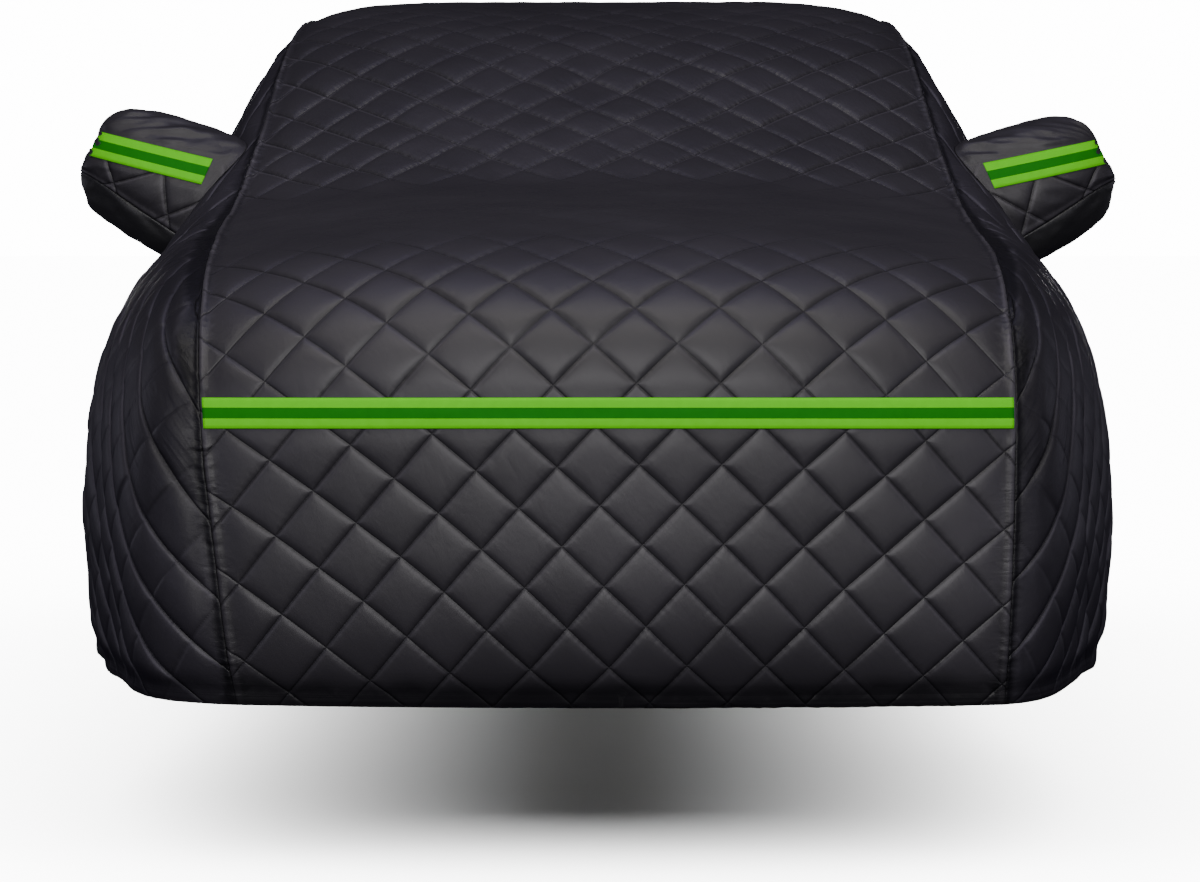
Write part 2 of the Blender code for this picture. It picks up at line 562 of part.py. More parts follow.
def make_pocket(word, sign, tree, cloth, plain, parent):
    outer, hood, around = pocket_faces(sign, tree)
    normal = pocket_normals(outer, sign)
    inner = outer - CLOTH * normal
    # the root's inner edge lies on the side panel as its outer edge does, and
    # the whole rim is eased outwards wherever a fold would stick through it
    rim = np.stack([outer[0], inner[0]])
    for p in rim.reshape(-1, 3):
        p[0] = cast(tree, (sign * 1.30, p[1], p[2]), (-sign, 0, 0))[0] + sign * POCKET_STAND_OFF
    parts = [(i / 4.0, j / 4.0) for i in range(5) for j in range(5)]
    for _ in range(5):
        ease = np.zeros(rim.shape[:2])
        for k in range(around):
            n = (k + 1) % around
            for s, t in parts:
                p = ((1 - s) * (1 - t) * rim[0, k] + s * (1 - t) * rim[0, n]
                     + (1 - s) * t * rim[1, k] + s * t * rim[1, n])
                hit = cast(tree, (sign * 1.30, p[1], p[2]), (-sign, 0, 0))
                lack = (hit[0] - p[0]) * sign + POCKET_STAND_OFF
                for i, j in ((0, k), (0, n), (1, k), (1, n)):
                    ease[i, j] = max(ease[i, j], lack)
        rim[..., 0] += sign * ease
        if ease.max() < 1e-5:
            break
    outer[0], inner[0] = rim
    steps = len(POCKET_STEPS)

    def part(name, indices, material):
        skin, lining = outer[:, indices].copy(), inner[:, indices].copy()
        for end, near in ((0, 1), (-1, -2)):
            shift = unit(skin[:-1, near] - skin[:-1, end]) * 0.5 * SEAM_GAP
            skin[:-1, end] += shift
            lining[:-1, end] += shift
        # the two edges meet in one line at the tip
        count = len(indices)
        edge = np.array([0.0, 0.0, skin[-1, count // 2, 2] - skin[-1, 0, 2]])
        edge = unit(edge) * 0.5 * SEAM_GAP
        for end in (0, -1):
            skin[-1, end] += edge
            lining[-1, end] += edge
        index = [[j * count + k for k in range(count)] for j in range(steps)]
        for k in range(count):
            index[-1][k] = (steps - 1) * count + min(k, count - 1 - k)
        quads = []
        for j in range(steps - 1):
            for k in range(count - 1):
                ring = [index[j][k], index[j][k + 1], index[j + 1][k + 1], index[j + 1][k]]
                quads.append(ring if sign > 0 else ring[::-1])
        return closed_sheet(name, skin.reshape(-1, 3), lining.reshape(-1, 3), quads, material, parent)

    top = part("mirror_pocket_" + word, list(range(hood)), cloth)
    below = part("mirror_gusset_" + word, list(range(hood - 1, around)) + [0], plain)
    return top, below


def make_tape(name, path, tree, material, parent):
    """A tape laid on the front of a solid.  path gives x and z of its lower,
    middle and upper line; the tape is pressed back along +Y until it meets the
    solid, and eased forward again wherever a fold of it would stick through."""
    inner = np.array([[cast(tree, (x, -0.5, z), (0, 1, 0)) for x, z in line] for line in path])
    inner[..., 1] -= LIFT
    rows, columns = inner.shape[:2]
    parts = [(i / 4.0, j / 4.0) for i in range(5) for j in range(5 - i)]
    for _ in range(5):
        ease = np.zeros((rows, columns))
        for i in range(rows - 1):
            for j in range(columns - 1):
                for corners in (((i, j), (i, j + 1), (i + 1, j + 1)), ((i, j), (i + 1, j + 1), (i + 1, j))):
                    a, b, c = (inner[k] for k in corners)
                    for s, t in parts:
                        p = a + (b - a) * s + (c - a) * t
                        lack = p[1] - (cast(tree, (p[0], -0.5, p[2]), (0, 1, 0))[1] - LIFT)
                        for k in corners:
                            ease[k] = max(ease[k], lack)
        inner[..., 1] -= ease
        if ease.max() < 1e-5:
            break
    outer = inner - np.array([0.0, TAPE, 0.0])
    quads = grid_quads(rows, columns, flip=False)
    return closed_sheet(name, outer.reshape(-1, 3), inner.reshape(-1, 3), quads, material, parent)


def front_tape_path():
    """The tape runs level from seam to seam, 7 mm lower at its ends."""
    t = np.linspace(-0.992, 0.992, 2 * ACROSS + 1)
    v = v_middle = np.interp(0.7385, centre(0.0, V_SAMPLES[V_SAMPLES < V_FRONT])[:, 2],
                             V_SAMPLES[V_SAMPLES < V_FRONT])
    x = centre(t, np.full(len(t), v_middle))[:, 0]
    z = 0.7385 - 0.007 * np.abs(t) ** 2.2
    half = 0.5 * TAPE_WIDTH
    return [[(a, b + lift) for a, b in zip(x, z)] for lift in (-half, 0.0, half)]


def pocket_tape_path(sign):
    steps = np.linspace(0.0, 1.0, 9)
    lines = []
    for _, offset, inner_x, inner_z, outer_x, outer_z in POCKET_TAPE:
        x = sign * (inner_x + (outer_x - inner_x) * steps)
        z = inner_z + (outer_z - inner_z) * steps + offset * TAPE_WIDTH
        lines.append(list(zip(x, z - POCKET_DROOP[sign] * (0.5 + 0.5 * steps))))
    return lines


def main():
    clear_scene()
    cover = bpy.data.objects.new("cover", None)
    bpy.context.scene.collection.objects.link(cover)
    black = {}
    for name in ("centre_panel", "side_panel_left", "side_panel_right",
                 "mirror_pocket_left", "mirror_pocket_right"):
        black[name] = cloth_material(name + "_cloth", (0.020, 0.020, 0.023), 0.38, sheen=0.3)
    for name in ("mirror_gusset_left", "mirror_gusset_right"):
        black[name] = cloth_material(name + "_cloth", (0.008, 0.008, 0.009), 0.55, sheen=0.2)
    for name in ("reflective_strip_front", "reflective_strip_mirror_left", "reflective_strip_mirror_right"):
        black[name] = cloth_material(name + "_tape", (0.20, 0.83, 0.04), 0.45)

    middle = make_centre_panel(black["centre_panel"], cover)
    for word, sign in (("left", -1), ("right", 1)):
        panel = make_side_panel("side_panel_" + word, sign, black["side_panel_" + word], cover)
        hood, _ = make_pocket(word, sign, tree_of(panel), black["mirror_pocket_" + word],
                              black["mirror_gusset_" + word], cover)
        make_tape("reflective_strip_mirror_" + word,
                  pocket_tape_path(sign) if sign > 0 else [line[::-1] for line in pocket_tape_path(sign)],
                  tree_of(hood), black["reflective_strip_mirror_" + word], cover)
    make_tape("reflective_strip_front", front_tape_path(), tree_of(middle), black["reflective_strip_front"], cover)
    bpy.context.view_layer.update()


main()
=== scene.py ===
import json
import math

import bpy
import numpy as np
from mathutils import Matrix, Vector
from mathutils.geometry import delaunay_2d_cdt

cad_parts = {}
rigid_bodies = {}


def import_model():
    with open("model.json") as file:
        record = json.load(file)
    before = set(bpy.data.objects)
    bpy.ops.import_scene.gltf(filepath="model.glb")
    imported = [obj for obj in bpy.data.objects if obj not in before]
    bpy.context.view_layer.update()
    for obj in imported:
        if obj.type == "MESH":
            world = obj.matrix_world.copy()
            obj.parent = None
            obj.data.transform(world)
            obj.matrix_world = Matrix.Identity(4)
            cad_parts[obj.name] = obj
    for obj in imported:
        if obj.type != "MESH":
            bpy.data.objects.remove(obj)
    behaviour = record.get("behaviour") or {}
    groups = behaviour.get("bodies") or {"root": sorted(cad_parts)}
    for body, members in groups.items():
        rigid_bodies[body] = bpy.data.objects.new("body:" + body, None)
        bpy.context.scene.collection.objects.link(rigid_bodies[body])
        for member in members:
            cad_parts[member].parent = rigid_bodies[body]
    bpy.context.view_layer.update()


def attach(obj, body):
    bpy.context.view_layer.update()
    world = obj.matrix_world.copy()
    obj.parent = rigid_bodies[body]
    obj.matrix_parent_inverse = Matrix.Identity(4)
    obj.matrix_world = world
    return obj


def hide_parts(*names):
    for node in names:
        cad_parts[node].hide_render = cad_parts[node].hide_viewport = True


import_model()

# ---------------------------------------------------------------------------
# The cover's faces, as in the part: y counted back from the nose and z up from
# the ground, shifted so that the origin is under the cloth at the roof's top.
# ---------------------------------------------------------------------------
CLOTH = 0.0030
TAPE = 0.0012
TAPE_WIDTH = 0.049
SEAM_GAP = 0.0004
ROOF_Y, ROOF_Z = 2.700, 1.471
ORIGIN = np.array([0.0, ROOF_Y, ROOF_Z - CLOTH])

FRONT_FADE_Y, REAR_FADE_Y = 1.30, 3.30
FRONT_AXLE_Y, REAR_AXLE_Y = 0.95, 3.60
TAPER_POWER, CORNER_POWER = 2.4, 30.0

STATION_COLUMNS = ("name", "y", "z", "left", "right", "seam_y", "seam_z", "round")
STATIONS = (
    ("front hem",       0.068, 0.262, 0.580, 0.655, 0.108, 0.262, 2.4),
    ("under nose",      0.025, 0.335, 0.592, 0.659, 0.086, 0.333, 2.4),
    ("lower nose",      0.004, 0.430, 0.604, 0.663, 0.079, 0.425, 2.4),
    ("nose",            0.000, 0.550, 0.617, 0.667, 0.084, 0.540, 2.4),
    ("upper nose",      0.000, 0.680, 0.631, 0.670, 0.097, 0.652, 2.4),
    ("tape",            0.007, 0.785, 0.639, 0.672, 0.122, 0.752, 2.4),
    ("nose top",        0.034, 0.853, 0.644, 0.672, 0.165, 0.822, 2.4),
    ("leading edge",    0.076, 0.905, 0.647, 0.672, 0.212, 0.868, 2.4),
    ("corner",          0.130, 0.943, 0.649, 0.672, 0.265, 0.900, 2.5),
    ("bonnet lip",      0.200, 0.974, 0.652, 0.673, 0.328, 0.926, 2.5),
    ("bonnet front",    0.300, 1.002, 0.656, 0.675, 0.418, 0.949, 2.6),
    ("bonnet",          0.450, 1.025, 0.662, 0.678, 0.550, 0.970, 2.7),
    ("bonnet middle",   0.700, 1.048, 0.672, 0.683, 0.775, 0.989, 2.8),
    ("bonnet rear",     1.000, 1.068, 0.688, 0.689, 1.045, 1.005, 2.8),
    ("cowl",            1.200, 1.082, 0.693, 0.692, 1.250, 1.022, 2.7),
    ("glass foot",      1.340, 1.104, 0.689, 0.689, 1.410, 1.048, 2.6),
    ("lower glass",     1.480, 1.165, 0.676, 0.676, 1.555, 1.107, 2.6),
    ("glass",           1.660, 1.255, 0.658, 0.658, 1.720, 1.196, 2.8),
    ("upper glass",     1.850, 1.349, 0.641, 0.641, 1.885, 1.292, 3.4),
    ("header",          1.990, 1.396, 0.632, 0.632, 2.005, 1.345, 4.2),
    ("roof front",      2.160, 1.432, 0.625, 0.625, 2.165, 1.387, 5.4),
    ("roof",            2.400, 1.461, 0.620, 0.620, 2.405, 1.414, 6.4),
    ("roof top",        2.700, 1.471, 0.618, 0.618, 2.700, 1.425, 6.6),
    ("roof rear",       3.000, 1.466, 0.617, 0.617, 3.000, 1.421, 6.0),
    ("rear header",     3.260, 1.447, 0.617, 0.617, 3.255, 1.402, 4.4),
    ("rear glass top",  3.480, 1.398, 0.620, 0.620, 3.465, 1.356, 3.6),
    ("rear glass",      3.740, 1.292, 0.630, 0.630, 3.715, 1.254, 3.0),
    ("rear glass foot", 3.990, 1.187, 0.642, 0.642, 3.950, 1.150, 2.8),
    ("boot front",      4.170, 1.137, 0.650, 0.650, 4.115, 1.092, 2.7),
    ("boot",            4.350, 1.110, 0.654, 0.654, 4.270, 1.054, 2.6),
    ("boot lip",        4.480, 1.070, 0.655, 0.655, 4.375, 1.010, 2.5),
    ("tail corner",     4.555, 1.000, 0.654, 0.654, 4.440, 0.950, 2.4),
    ("tail top",        4.592, 0.900, 0.651, 0.651, 4.478, 0.868, 2.4),
    ("tail",            4.602, 0.760, 0.646, 0.646, 4.492, 0.742, 2.4),
    ("lower tail",      4.600, 0.580, 0.638, 0.638, 4.492, 0.572, 2.4),
    ("under tail",      4.578, 0.420, 0.628, 0.628, 4.470, 0.417, 2.4),
    ("rear hem",        4.520, 0.262, 0.612, 0.612, 4.415, 0.262, 2.4),
)
LEVELS = (
    ("hem",      0.262, 0.262, 0.262, 0.899, 0.034, 0.200, 0.150),
    ("sill",     0.400, 0.420, 0.420, 0.912, 0.018, 0.200, 0.150),
    ("waist",    0.560, 0.580, 0.580, 0.917, 0.007, 0.192, 0.148),
    ("shoulder", 0.730, 0.755, 0.765, 0.895, 0.002, 0.180, 0.140),
)
HANDLE_COLUMNS = ("name", "y", "low_plan", "low_rise", "high_plan", "high_rise")
HANDLES = (
    ("nose corner", 0.20, 0.17, 0.50, 0.49, 0.86),
    ("fender",      0.90, 0.17, 0.57, 0.49, 0.90),
    ("cowl",        1.40, 0.16, 0.50, 0.50, 0.86),
    ("mirror",      1.75, 0.19, 0.42, 0.64, 0.84),
    ("front door",  2.20, 0.24, 0.36, 0.79, 0.88),
    ("rear door",   3.05, 0.24, 0.36, 0.79, 0.88),
    ("rear pillar", 3.60, 0.20, 0.43, 0.65, 0.86),
    ("boot side",   4.10, 0.15, 0.56, 0.48, 0.88),
    ("tail corner", 4.40, 0.16, 0.52, 0.48, 0.86),
)
HANDLE_SHARES = (0.30, 0.58, 0.82)
ROW_SHARES = (0.0, 0.17, 0.34, 0.50, 0.63, 0.76, 0.88, 1.0)
FOLDS = (
    (0.71, 0.0050, 0.35, 0.4, 2.1),
    (0.43, 0.0032, -0.30, 1.7, 0.2),
    (0.27, 0.0016, 0.55, 2.9, 1.1),
)
POCKET_HOOD = (
    ("front seam", 1.628, 0.988, 1.668, 1.112),
    ("front low",  1.612, 1.040, 1.650, 1.145),
    ("front",      1.618, 1.092, 1.650, 1.180),
    ("front high", 1.640, 1.131, 1.662, 1.220),
    ("top front",  1.680, 1.161, 1.690, 1.256),
    ("top",        1.740, 1.172, 1.735, 1.268),
    ("top rear",   1.800, 1.163, 1.785, 1.258),
    ("rear high",  1.845, 1.133, 1.820, 1.220),
    ("rear",       1.868, 1.088, 1.838, 1.180),
    ("rear low",   1.874, 1.036, 1.840, 1.145),
    ("rear seam",  1.866, 0.988, 1.830, 1.112),
)
POCKET_GUSSET = (
    ("rear seam",  1.866, 0.988, 1.830, 1.112),
    ("rear foot",  1.842, 0.958, 1.812, 1.066),
    ("rear under", 1.790, 0.938, 1.775, 1.030),
    ("front under", 1.712, 0.937, 1.722, 1.023),
    ("front foot", 1.655, 0.951, 1.686, 1.048),
    ("front seam", 1.628, 0.988, 1.668, 1.112),
)
POCKET_END_X = 1.015
POCKET_TIP = {"y": 1.748, "top_z": 1.152, "seam_z": 1.112, "foot_z": 1.062}
POCKET_TIP_POWER = 3.0
POCKET_DROOP = {-1: 0.0, 1: 0.016}
POCKET_TAPE = (
    ("lower edge", -0.5, 0.768, 1.111, 0.992, 1.167),
    ("middle",      0.0, 0.757, 1.111, 0.982, 1.166),
    ("upper edge",  0.5, 0.747, 1.111, 0.968, 1.164),
)
HOLE = {"front_y": 1.690, "rear_y": 1.785, "low_row": 0.74, "high_row": 0.84}


def spline(knots, values):
    """Natural cubic curve through the rows of a table."""
    knots = np.asarray(knots, float)
    values = np.asarray(values, float)
    if values.ndim == 1:
        values = values[:, None]
    count = len(knots)
    step = np.diff(knots)
    system = np.eye(count)
    right = np.zeros_like(values)
    for i in range(1, count - 1):
        system[i, i - 1] = step[i - 1]
        system[i, i] = 2.0 * (step[i - 1] + step[i])
        system[i, i + 1] = step[i]
        right[i] = 6.0 * ((values[i + 1] - values[i]) / step[i]
                          - (values[i] - values[i - 1]) / step[i - 1])
    bend = np.linalg.solve(system, right)

    def at(u):
        u = np.clip(np.asarray(u, float), knots[0], knots[-1])
        i = np.clip(np.searchsorted(knots, u, side="right") - 1, 0, count - 2)
        h = knots[i + 1] - knots[i]
        a = ((knots[i + 1] - u) / h)[..., None]
        b = ((u - knots[i]) / h)[..., None]
        h = h[..., None]
        return (a * values[i] + b * values[i + 1]
                + ((a ** 3 - a) * bend[i] + (b ** 3 - b) * bend[i + 1]) * h * h / 6.0)

    return at


def column(table, names, name):
    return np.array([row[names.index(name)] for row in table], float)


def unit(v):
    return v / np.maximum(np.linalg.norm(v, axis=-1, keepdims=True), 1e-12)


MID_Y = column(STATIONS, STATION_COLUMNS, "y")
MID_Z = column(STATIONS, STATION_COLUMNS, "z")
KNOTS = np.concatenate(([0.0], np.cumsum(np.hypot(np.diff(MID_Y), np.diff(MID_Z)))))
STATION = spline(KNOTS, np.stack([column(STATIONS, STATION_COLUMNS, n)
                                  for n in STATION_COLUMNS[1:]], axis=1))
STATION_NAMES = [row[0] for row in STATIONS]
V_FRONT = KNOTS[STATION_NAMES.index("corner")]
V_REAR = KNOTS[STATION_NAMES.index("tail corner")]
V_END = KNOTS[-1]


def centre(t, v):
    """Outer face of the centre panel: t from -1 (left seam) to 1, v along it."""
    t, v = np.broadcast_arrays(np.asarray(t, float), np.asarray(v, float))
    y, z, left, right, seam_y, seam_z, power = np.moveaxis(STATION(v), -1, 0)
    x = 0.5 * (right - left) + 0.5 * (right + left) * t
    f = np.abs(t) ** power
    return np.stack([x, y + (seam_y - y) * f, z + (seam_z - z) * f], axis=-1)


def seam(sign, v):
    return centre(np.full(np.shape(v), float(sign)), v)


V_SAMPLES = np.linspace(0.0, V_END, 6001)
SEAM_SAMPLES = seam(1, V_SAMPLES)
ON_NOSE = V_SAMPLES <= V_FRONT + 1e-9
ON_TOP = (V_SAMPLES >= V_FRONT - 1e-9) & (V_SAMPLES <= V_REAR + 1e-9)
ON_TAIL = V_SAMPLES >= V_REAR - 1e-9
TOP_LOW, TOP_HIGH = seam(1, np.array([V_FRONT, V_REAR]))[:, 1]


def v_on_nose(z):
    return np.interp(z, SEAM_SAMPLES[ON_NOSE, 2], V_SAMPLES[ON_NOSE])


def v_on_tail(z):
    return np.interp(z, SEAM_SAMPLES[ON_TAIL, 2][::-1], V_SAMPLES[ON_TAIL][::-1])


def v_on_top(c):
    return np.interp(TOP_LOW + (TOP_HIGH - TOP_LOW) * np.asarray(c, float),
                     SEAM_SAMPLES[ON_TOP, 1], V_SAMPLES[ON_TOP])


HANDLE = spline(column(HANDLES, HANDLE_COLUMNS, "y"),
                np.stack([column(HANDLES, HANDLE_COLUMNS, n)
                          for n in HANDLE_COLUMNS[2:]], axis=1))


def level_line(sign, level, c):
    _, z_front, z_middle, z_rear, half, pull, front_taper, rear_taper = level
    nose = seam(sign, np.array([v_on_nose(z_front)]))[0]
    tail = seam(sign, np.array([v_on_tail(z_rear)]))[0]
    y = nose[1] + (tail[1] - nose[1]) * c
    between = np.clip((y - FRONT_AXLE_Y) / (REAR_AXLE_Y - FRONT_AXLE_Y), 0.0, 1.0)
    x = half - pull * np.sin(math.pi * between) ** 2
    front = np.clip((FRONT_FADE_Y - y) / (FRONT_FADE_Y - nose[1]), 0.0, 1.0)
    rear = np.clip((y - REAR_FADE_Y) / (tail[1] - REAR_FADE_Y), 0.0, 1.0)
    x = x - front_taper * front ** TAPER_POWER - (half - front_taper - abs(nose[0])) * front ** CORNER_POWER
    x = x - rear_taper * rear ** TAPER_POWER - (half - rear_taper - abs(tail[0])) * rear ** CORNER_POWER
    z = z_middle + (nose[2] - z_middle) * front ** 2 + (tail[2] - z_middle) * rear ** 2
    return np.stack([sign * x, y, z], axis=-1)


def panel_rows(sign, c):
    rows = [level_line(sign, level, c) for level in LEVELS]
    shoulder, top = rows[-1], seam(sign, v_on_top(c))
    low_plan, low_rise, high_plan, high_rise = np.moveaxis(HANDLE(shoulder[..., 1]), -1, 0)
    way = top - shoulder
    low = shoulder + way * np.stack([low_plan, low_plan, low_rise], axis=-1)
    high = shoulder + way * np.stack([high_plan, high_plan, high_rise], axis=-1)
    for s in HANDLE_SHARES:
        rows.append((1 - s) ** 3 * shoulder + 3 * s * (1 - s) ** 2 * low
                    + 3 * s * s * (1 - s) * high + s ** 3 * top)
    rows.append(top)
    return np.stack(rows, axis=0)


ROW_WEIGHTS = spline(ROW_SHARES, np.eye(len(ROW_SHARES)))
END_ROWS = panel_rows(1, np.array([0.0, 1.0]))
NOSE_V = spline(ROW_SHARES, v_on_nose(END_ROWS[:, 0, 2]))
TAIL_V = spline(ROW_SHARES, v_on_tail(END_ROWS[:, 1, 2]))


def folds(sign, c, w):
    """Depth of the long soft folds, none along the seams."""
    y = 4.4 * c
    fade = np.clip(c / 0.10, 0, 1) * np.clip((1 - c) / 0.10, 0, 1)
    fade = fade * fade * (3 - 2 * fade)
    fall = np.clip((0.86 - w) / 0.86, 0, 1) ** 1.3
    depth = np.zeros(np.broadcast(c, w).shape)
    for wave, size, lean, left_phase, right_phase in FOLDS:
        phase = left_phase if sign < 0 else right_phase
        swing = np.sin(2 * math.pi * (y + lean * w) / wave + phase
                       + 1.1 * np.sin(2 * math.pi * y / (2.7 * wave) + 2.0 * phase))
        depth = depth + size * swing
    return depth * fall * fade


def side_base(sign, c, w):
    c, w = np.broadcast_arrays(np.asarray(c, float), np.asarray(w, float))
    weights = ROW_WEIGHTS(w)
    rows = np.moveaxis(panel_rows(sign, c), 0, -2)
    point = np.einsum("...i,...ij->...j", weights, rows)
    ends = np.moveaxis(panel_rows(sign, np.array([0.0, 1.0])), 0, 1)
    nose = np.einsum("...i,ij->...j", weights, ends[0])
    tail = np.einsum("...i,ij->...j", weights, ends[1])
    front = np.clip(1 - c / 0.16, 0, 1)[..., None] ** 3
    rear = np.clip(1 - (1 - c) / 0.16, 0, 1)[..., None] ** 3
    return (point + (seam(sign, NOSE_V(w)[..., 0]) - nose) * front
            + (seam(sign, TAIL_V(w)[..., 0]) - tail) * rear)


def side_normal(sign, c, w, surface):
    e = 1e-4
    dc = surface(sign, np.minimum(c + e, 1), w) - surface(sign, np.maximum(c - e, 0), w)
    dw = surface(sign, c, np.minimum(w + e, 1)) - surface(sign, c, np.maximum(w - e, 0))
    return sign * unit(np.cross(dc, dw))


def side(sign, c, w):
    """Outer face of a side panel: c from nose seam to tail seam, w from hem to top."""
    c, w = np.broadcast_arrays(np.asarray(c, float), np.asarray(w, float))
    return side_base(sign, c, w) + folds(sign, c, w)[..., None] * side_normal(sign, c, w, side_base)


def centre_normal(t, v):
    e = 1e-4
    dt = centre(np.minimum(t + e, 1), v) - centre(np.maximum(t - e, -1), v)
    dv = centre(t, np.minimum(v + e, V_END)) - centre(t, np.maximum(v - e, 0))
    return unit(np.cross(dt, dv))


# ---------------------------------------------------------------------------
# Noise and small helpers
# ---------------------------------------------------------------------------
def hashed(ix, iy, seed):
    n = (ix.astype(np.int64) * 374761393 + iy.astype(np.int64) * 668265263 + seed * 144269504) & 0xFFFFFFFF
    n = ((n ^ (n >> 13)) * 1274126177) & 0xFFFFFFFF
    n = ((n ^ (n >> 16)) * 2246822519) & 0xFFFFFFFF
    n = n ^ (n >> 15)
    return (n & 0xFFFFFF) / float(0xFFFFFF)


def noise(x, y, seed):
    """Smooth value noise from -1 to 1, the same on each run."""
    x, y = np.broadcast_arrays(np.asarray(x, float), np.asarray(y, float))
    ix, iy = np.floor(x), np.floor(y)
    fx, fy = x - ix, y - iy
    fx = fx * fx * fx * (fx * (6 * fx - 15) + 10)
    fy = fy * fy * fy * (fy * (6 * fy - 15) + 10)
    a, b = hashed(ix, iy, seed), hashed(ix + 1, iy, seed)
    c, d = hashed(ix, iy + 1, seed), hashed(ix + 1, iy + 1, seed)
    return 2.0 * ((a + (b - a) * fx) * (1 - fy) + (c + (d - c) * fx) * fy) - 1.0


def smooth(a, b, x):
    s = np.clip((x - a) / (b - a), 0.0, 1.0)
    return s * s * (3 - 2 * s)


# ---------------------------------------------------------------------------
# Flat coordinates: arc lengths over a panel, and the way back from them
# ---------------------------------------------------------------------------
class Flat:
    def __init__(self, surface, x_range, y_range, nx, ny):
        self.x0, self.y0 = x_range[0], y_range[0]
        self.dx = (x_range[1] - x_range[0]) / (nx - 1)
        self.dy = (y_range[1] - y_range[0]) / (ny - 1)
        self.nx, self.ny = nx, ny
        self.x, self.y = np.linspace(*x_range, nx), np.linspace(*y_range, ny)
        grid_x, grid_y = np.meshgrid(self.x, self.y, indexing="ij")
        p = surface(grid_x, grid_y)
        self.a, self.b = np.zeros((nx, ny)), np.zeros((nx, ny))
        self.a[1:] = np.cumsum(np.linalg.norm(np.diff(p, axis=0), axis=-1), axis=0)
        self.b[:, 1:] = np.cumsum(np.linalg.norm(np.diff(p, axis=1), axis=-1), axis=1)

    def cell(self, x, y):
        fx = np.clip((x - self.x0) / self.dx, 0, self.nx - 1 - 1e-9)
        fy = np.clip((y - self.y0) / self.dy, 0, self.ny - 1 - 1e-9)
        i, j = fx.astype(int), fy.astype(int)
        return i, j, fx - i, fy - j

    def read(self, table, x, y):
        i, j, fx, fy = self.cell(x, y)
        return ((table[i, j] * (1 - fx) + table[i + 1, j] * fx) * (1 - fy)
                + (table[i, j + 1] * (1 - fx) + table[i + 1, j + 1] * fx) * fy)

    def forward(self, x, y):
        x, y = np.broadcast_arrays(np.asarray(x, float), np.asarray(y, float))
        return self.read(self.a, x, y), self.read(self.b, x, y)

    def back(self, a, b):
        """The place (x, y) whose flat coordinates are (a, b), and how far off it is."""
        a, b = np.asarray(a, float), np.asarray(b, float)
        mid_x, mid_y = self.nx // 2, self.ny // 2
        x = np.interp(a, self.a[:, mid_y], self.x)
        y = np.interp(b, self.b[mid_x], self.y)
        for _ in range(10):
            i, j, fx, fy = self.cell(x, y)
            out = []
            for table in (self.a, self.b):
                p00, p10 = table[i, j], table[i + 1, j]
                p01, p11 = table[i, j + 1], table[i + 1, j + 1]
                value = (p00 * (1 - fx) + p10 * fx) * (1 - fy) + (p01 * (1 - fx) + p11 * fx) * fy
                in_x = ((p10 - p00) * (1 - fy) + (p11 - p01) * fy) / self.dx
                in_y = ((p01 - p00) * (1 - fx) + (p11 - p10) * fx) / self.dy
                out.append((value, in_x, in_y))
            (va, ax, ay), (vb, bx, by) = out
            ra, rb = a - va, b - vb
            det = ax * by - ay * bx
            det = np.where(np.abs(det) < 1e-9, 1e-9, det)
            x = np.clip(x + np.clip((ra * by - rb * ay) / det, -0.2, 0.2), self.x[0], self.x[-1])
            y = np.clip(y + np.clip((rb * ax - ra * bx) / det, -0.5, 0.5), self.y[0], self.y[-1])
        va, vb = self.forward(x, y)
        return x, y, np.hypot(va - a, vb - b)


# ---------------------------------------------------------------------------
# Quilting: straight stitched lines both ways, a little off level, as cut
# ---------------------------------------------------------------------------
DIAGONAL = 0.1305                 # of one diamond
LINE = DIAGONAL / math.sqrt(2.0)  # between two stitched lines
PUFF = 0.0070
GROOVE = -0.0010


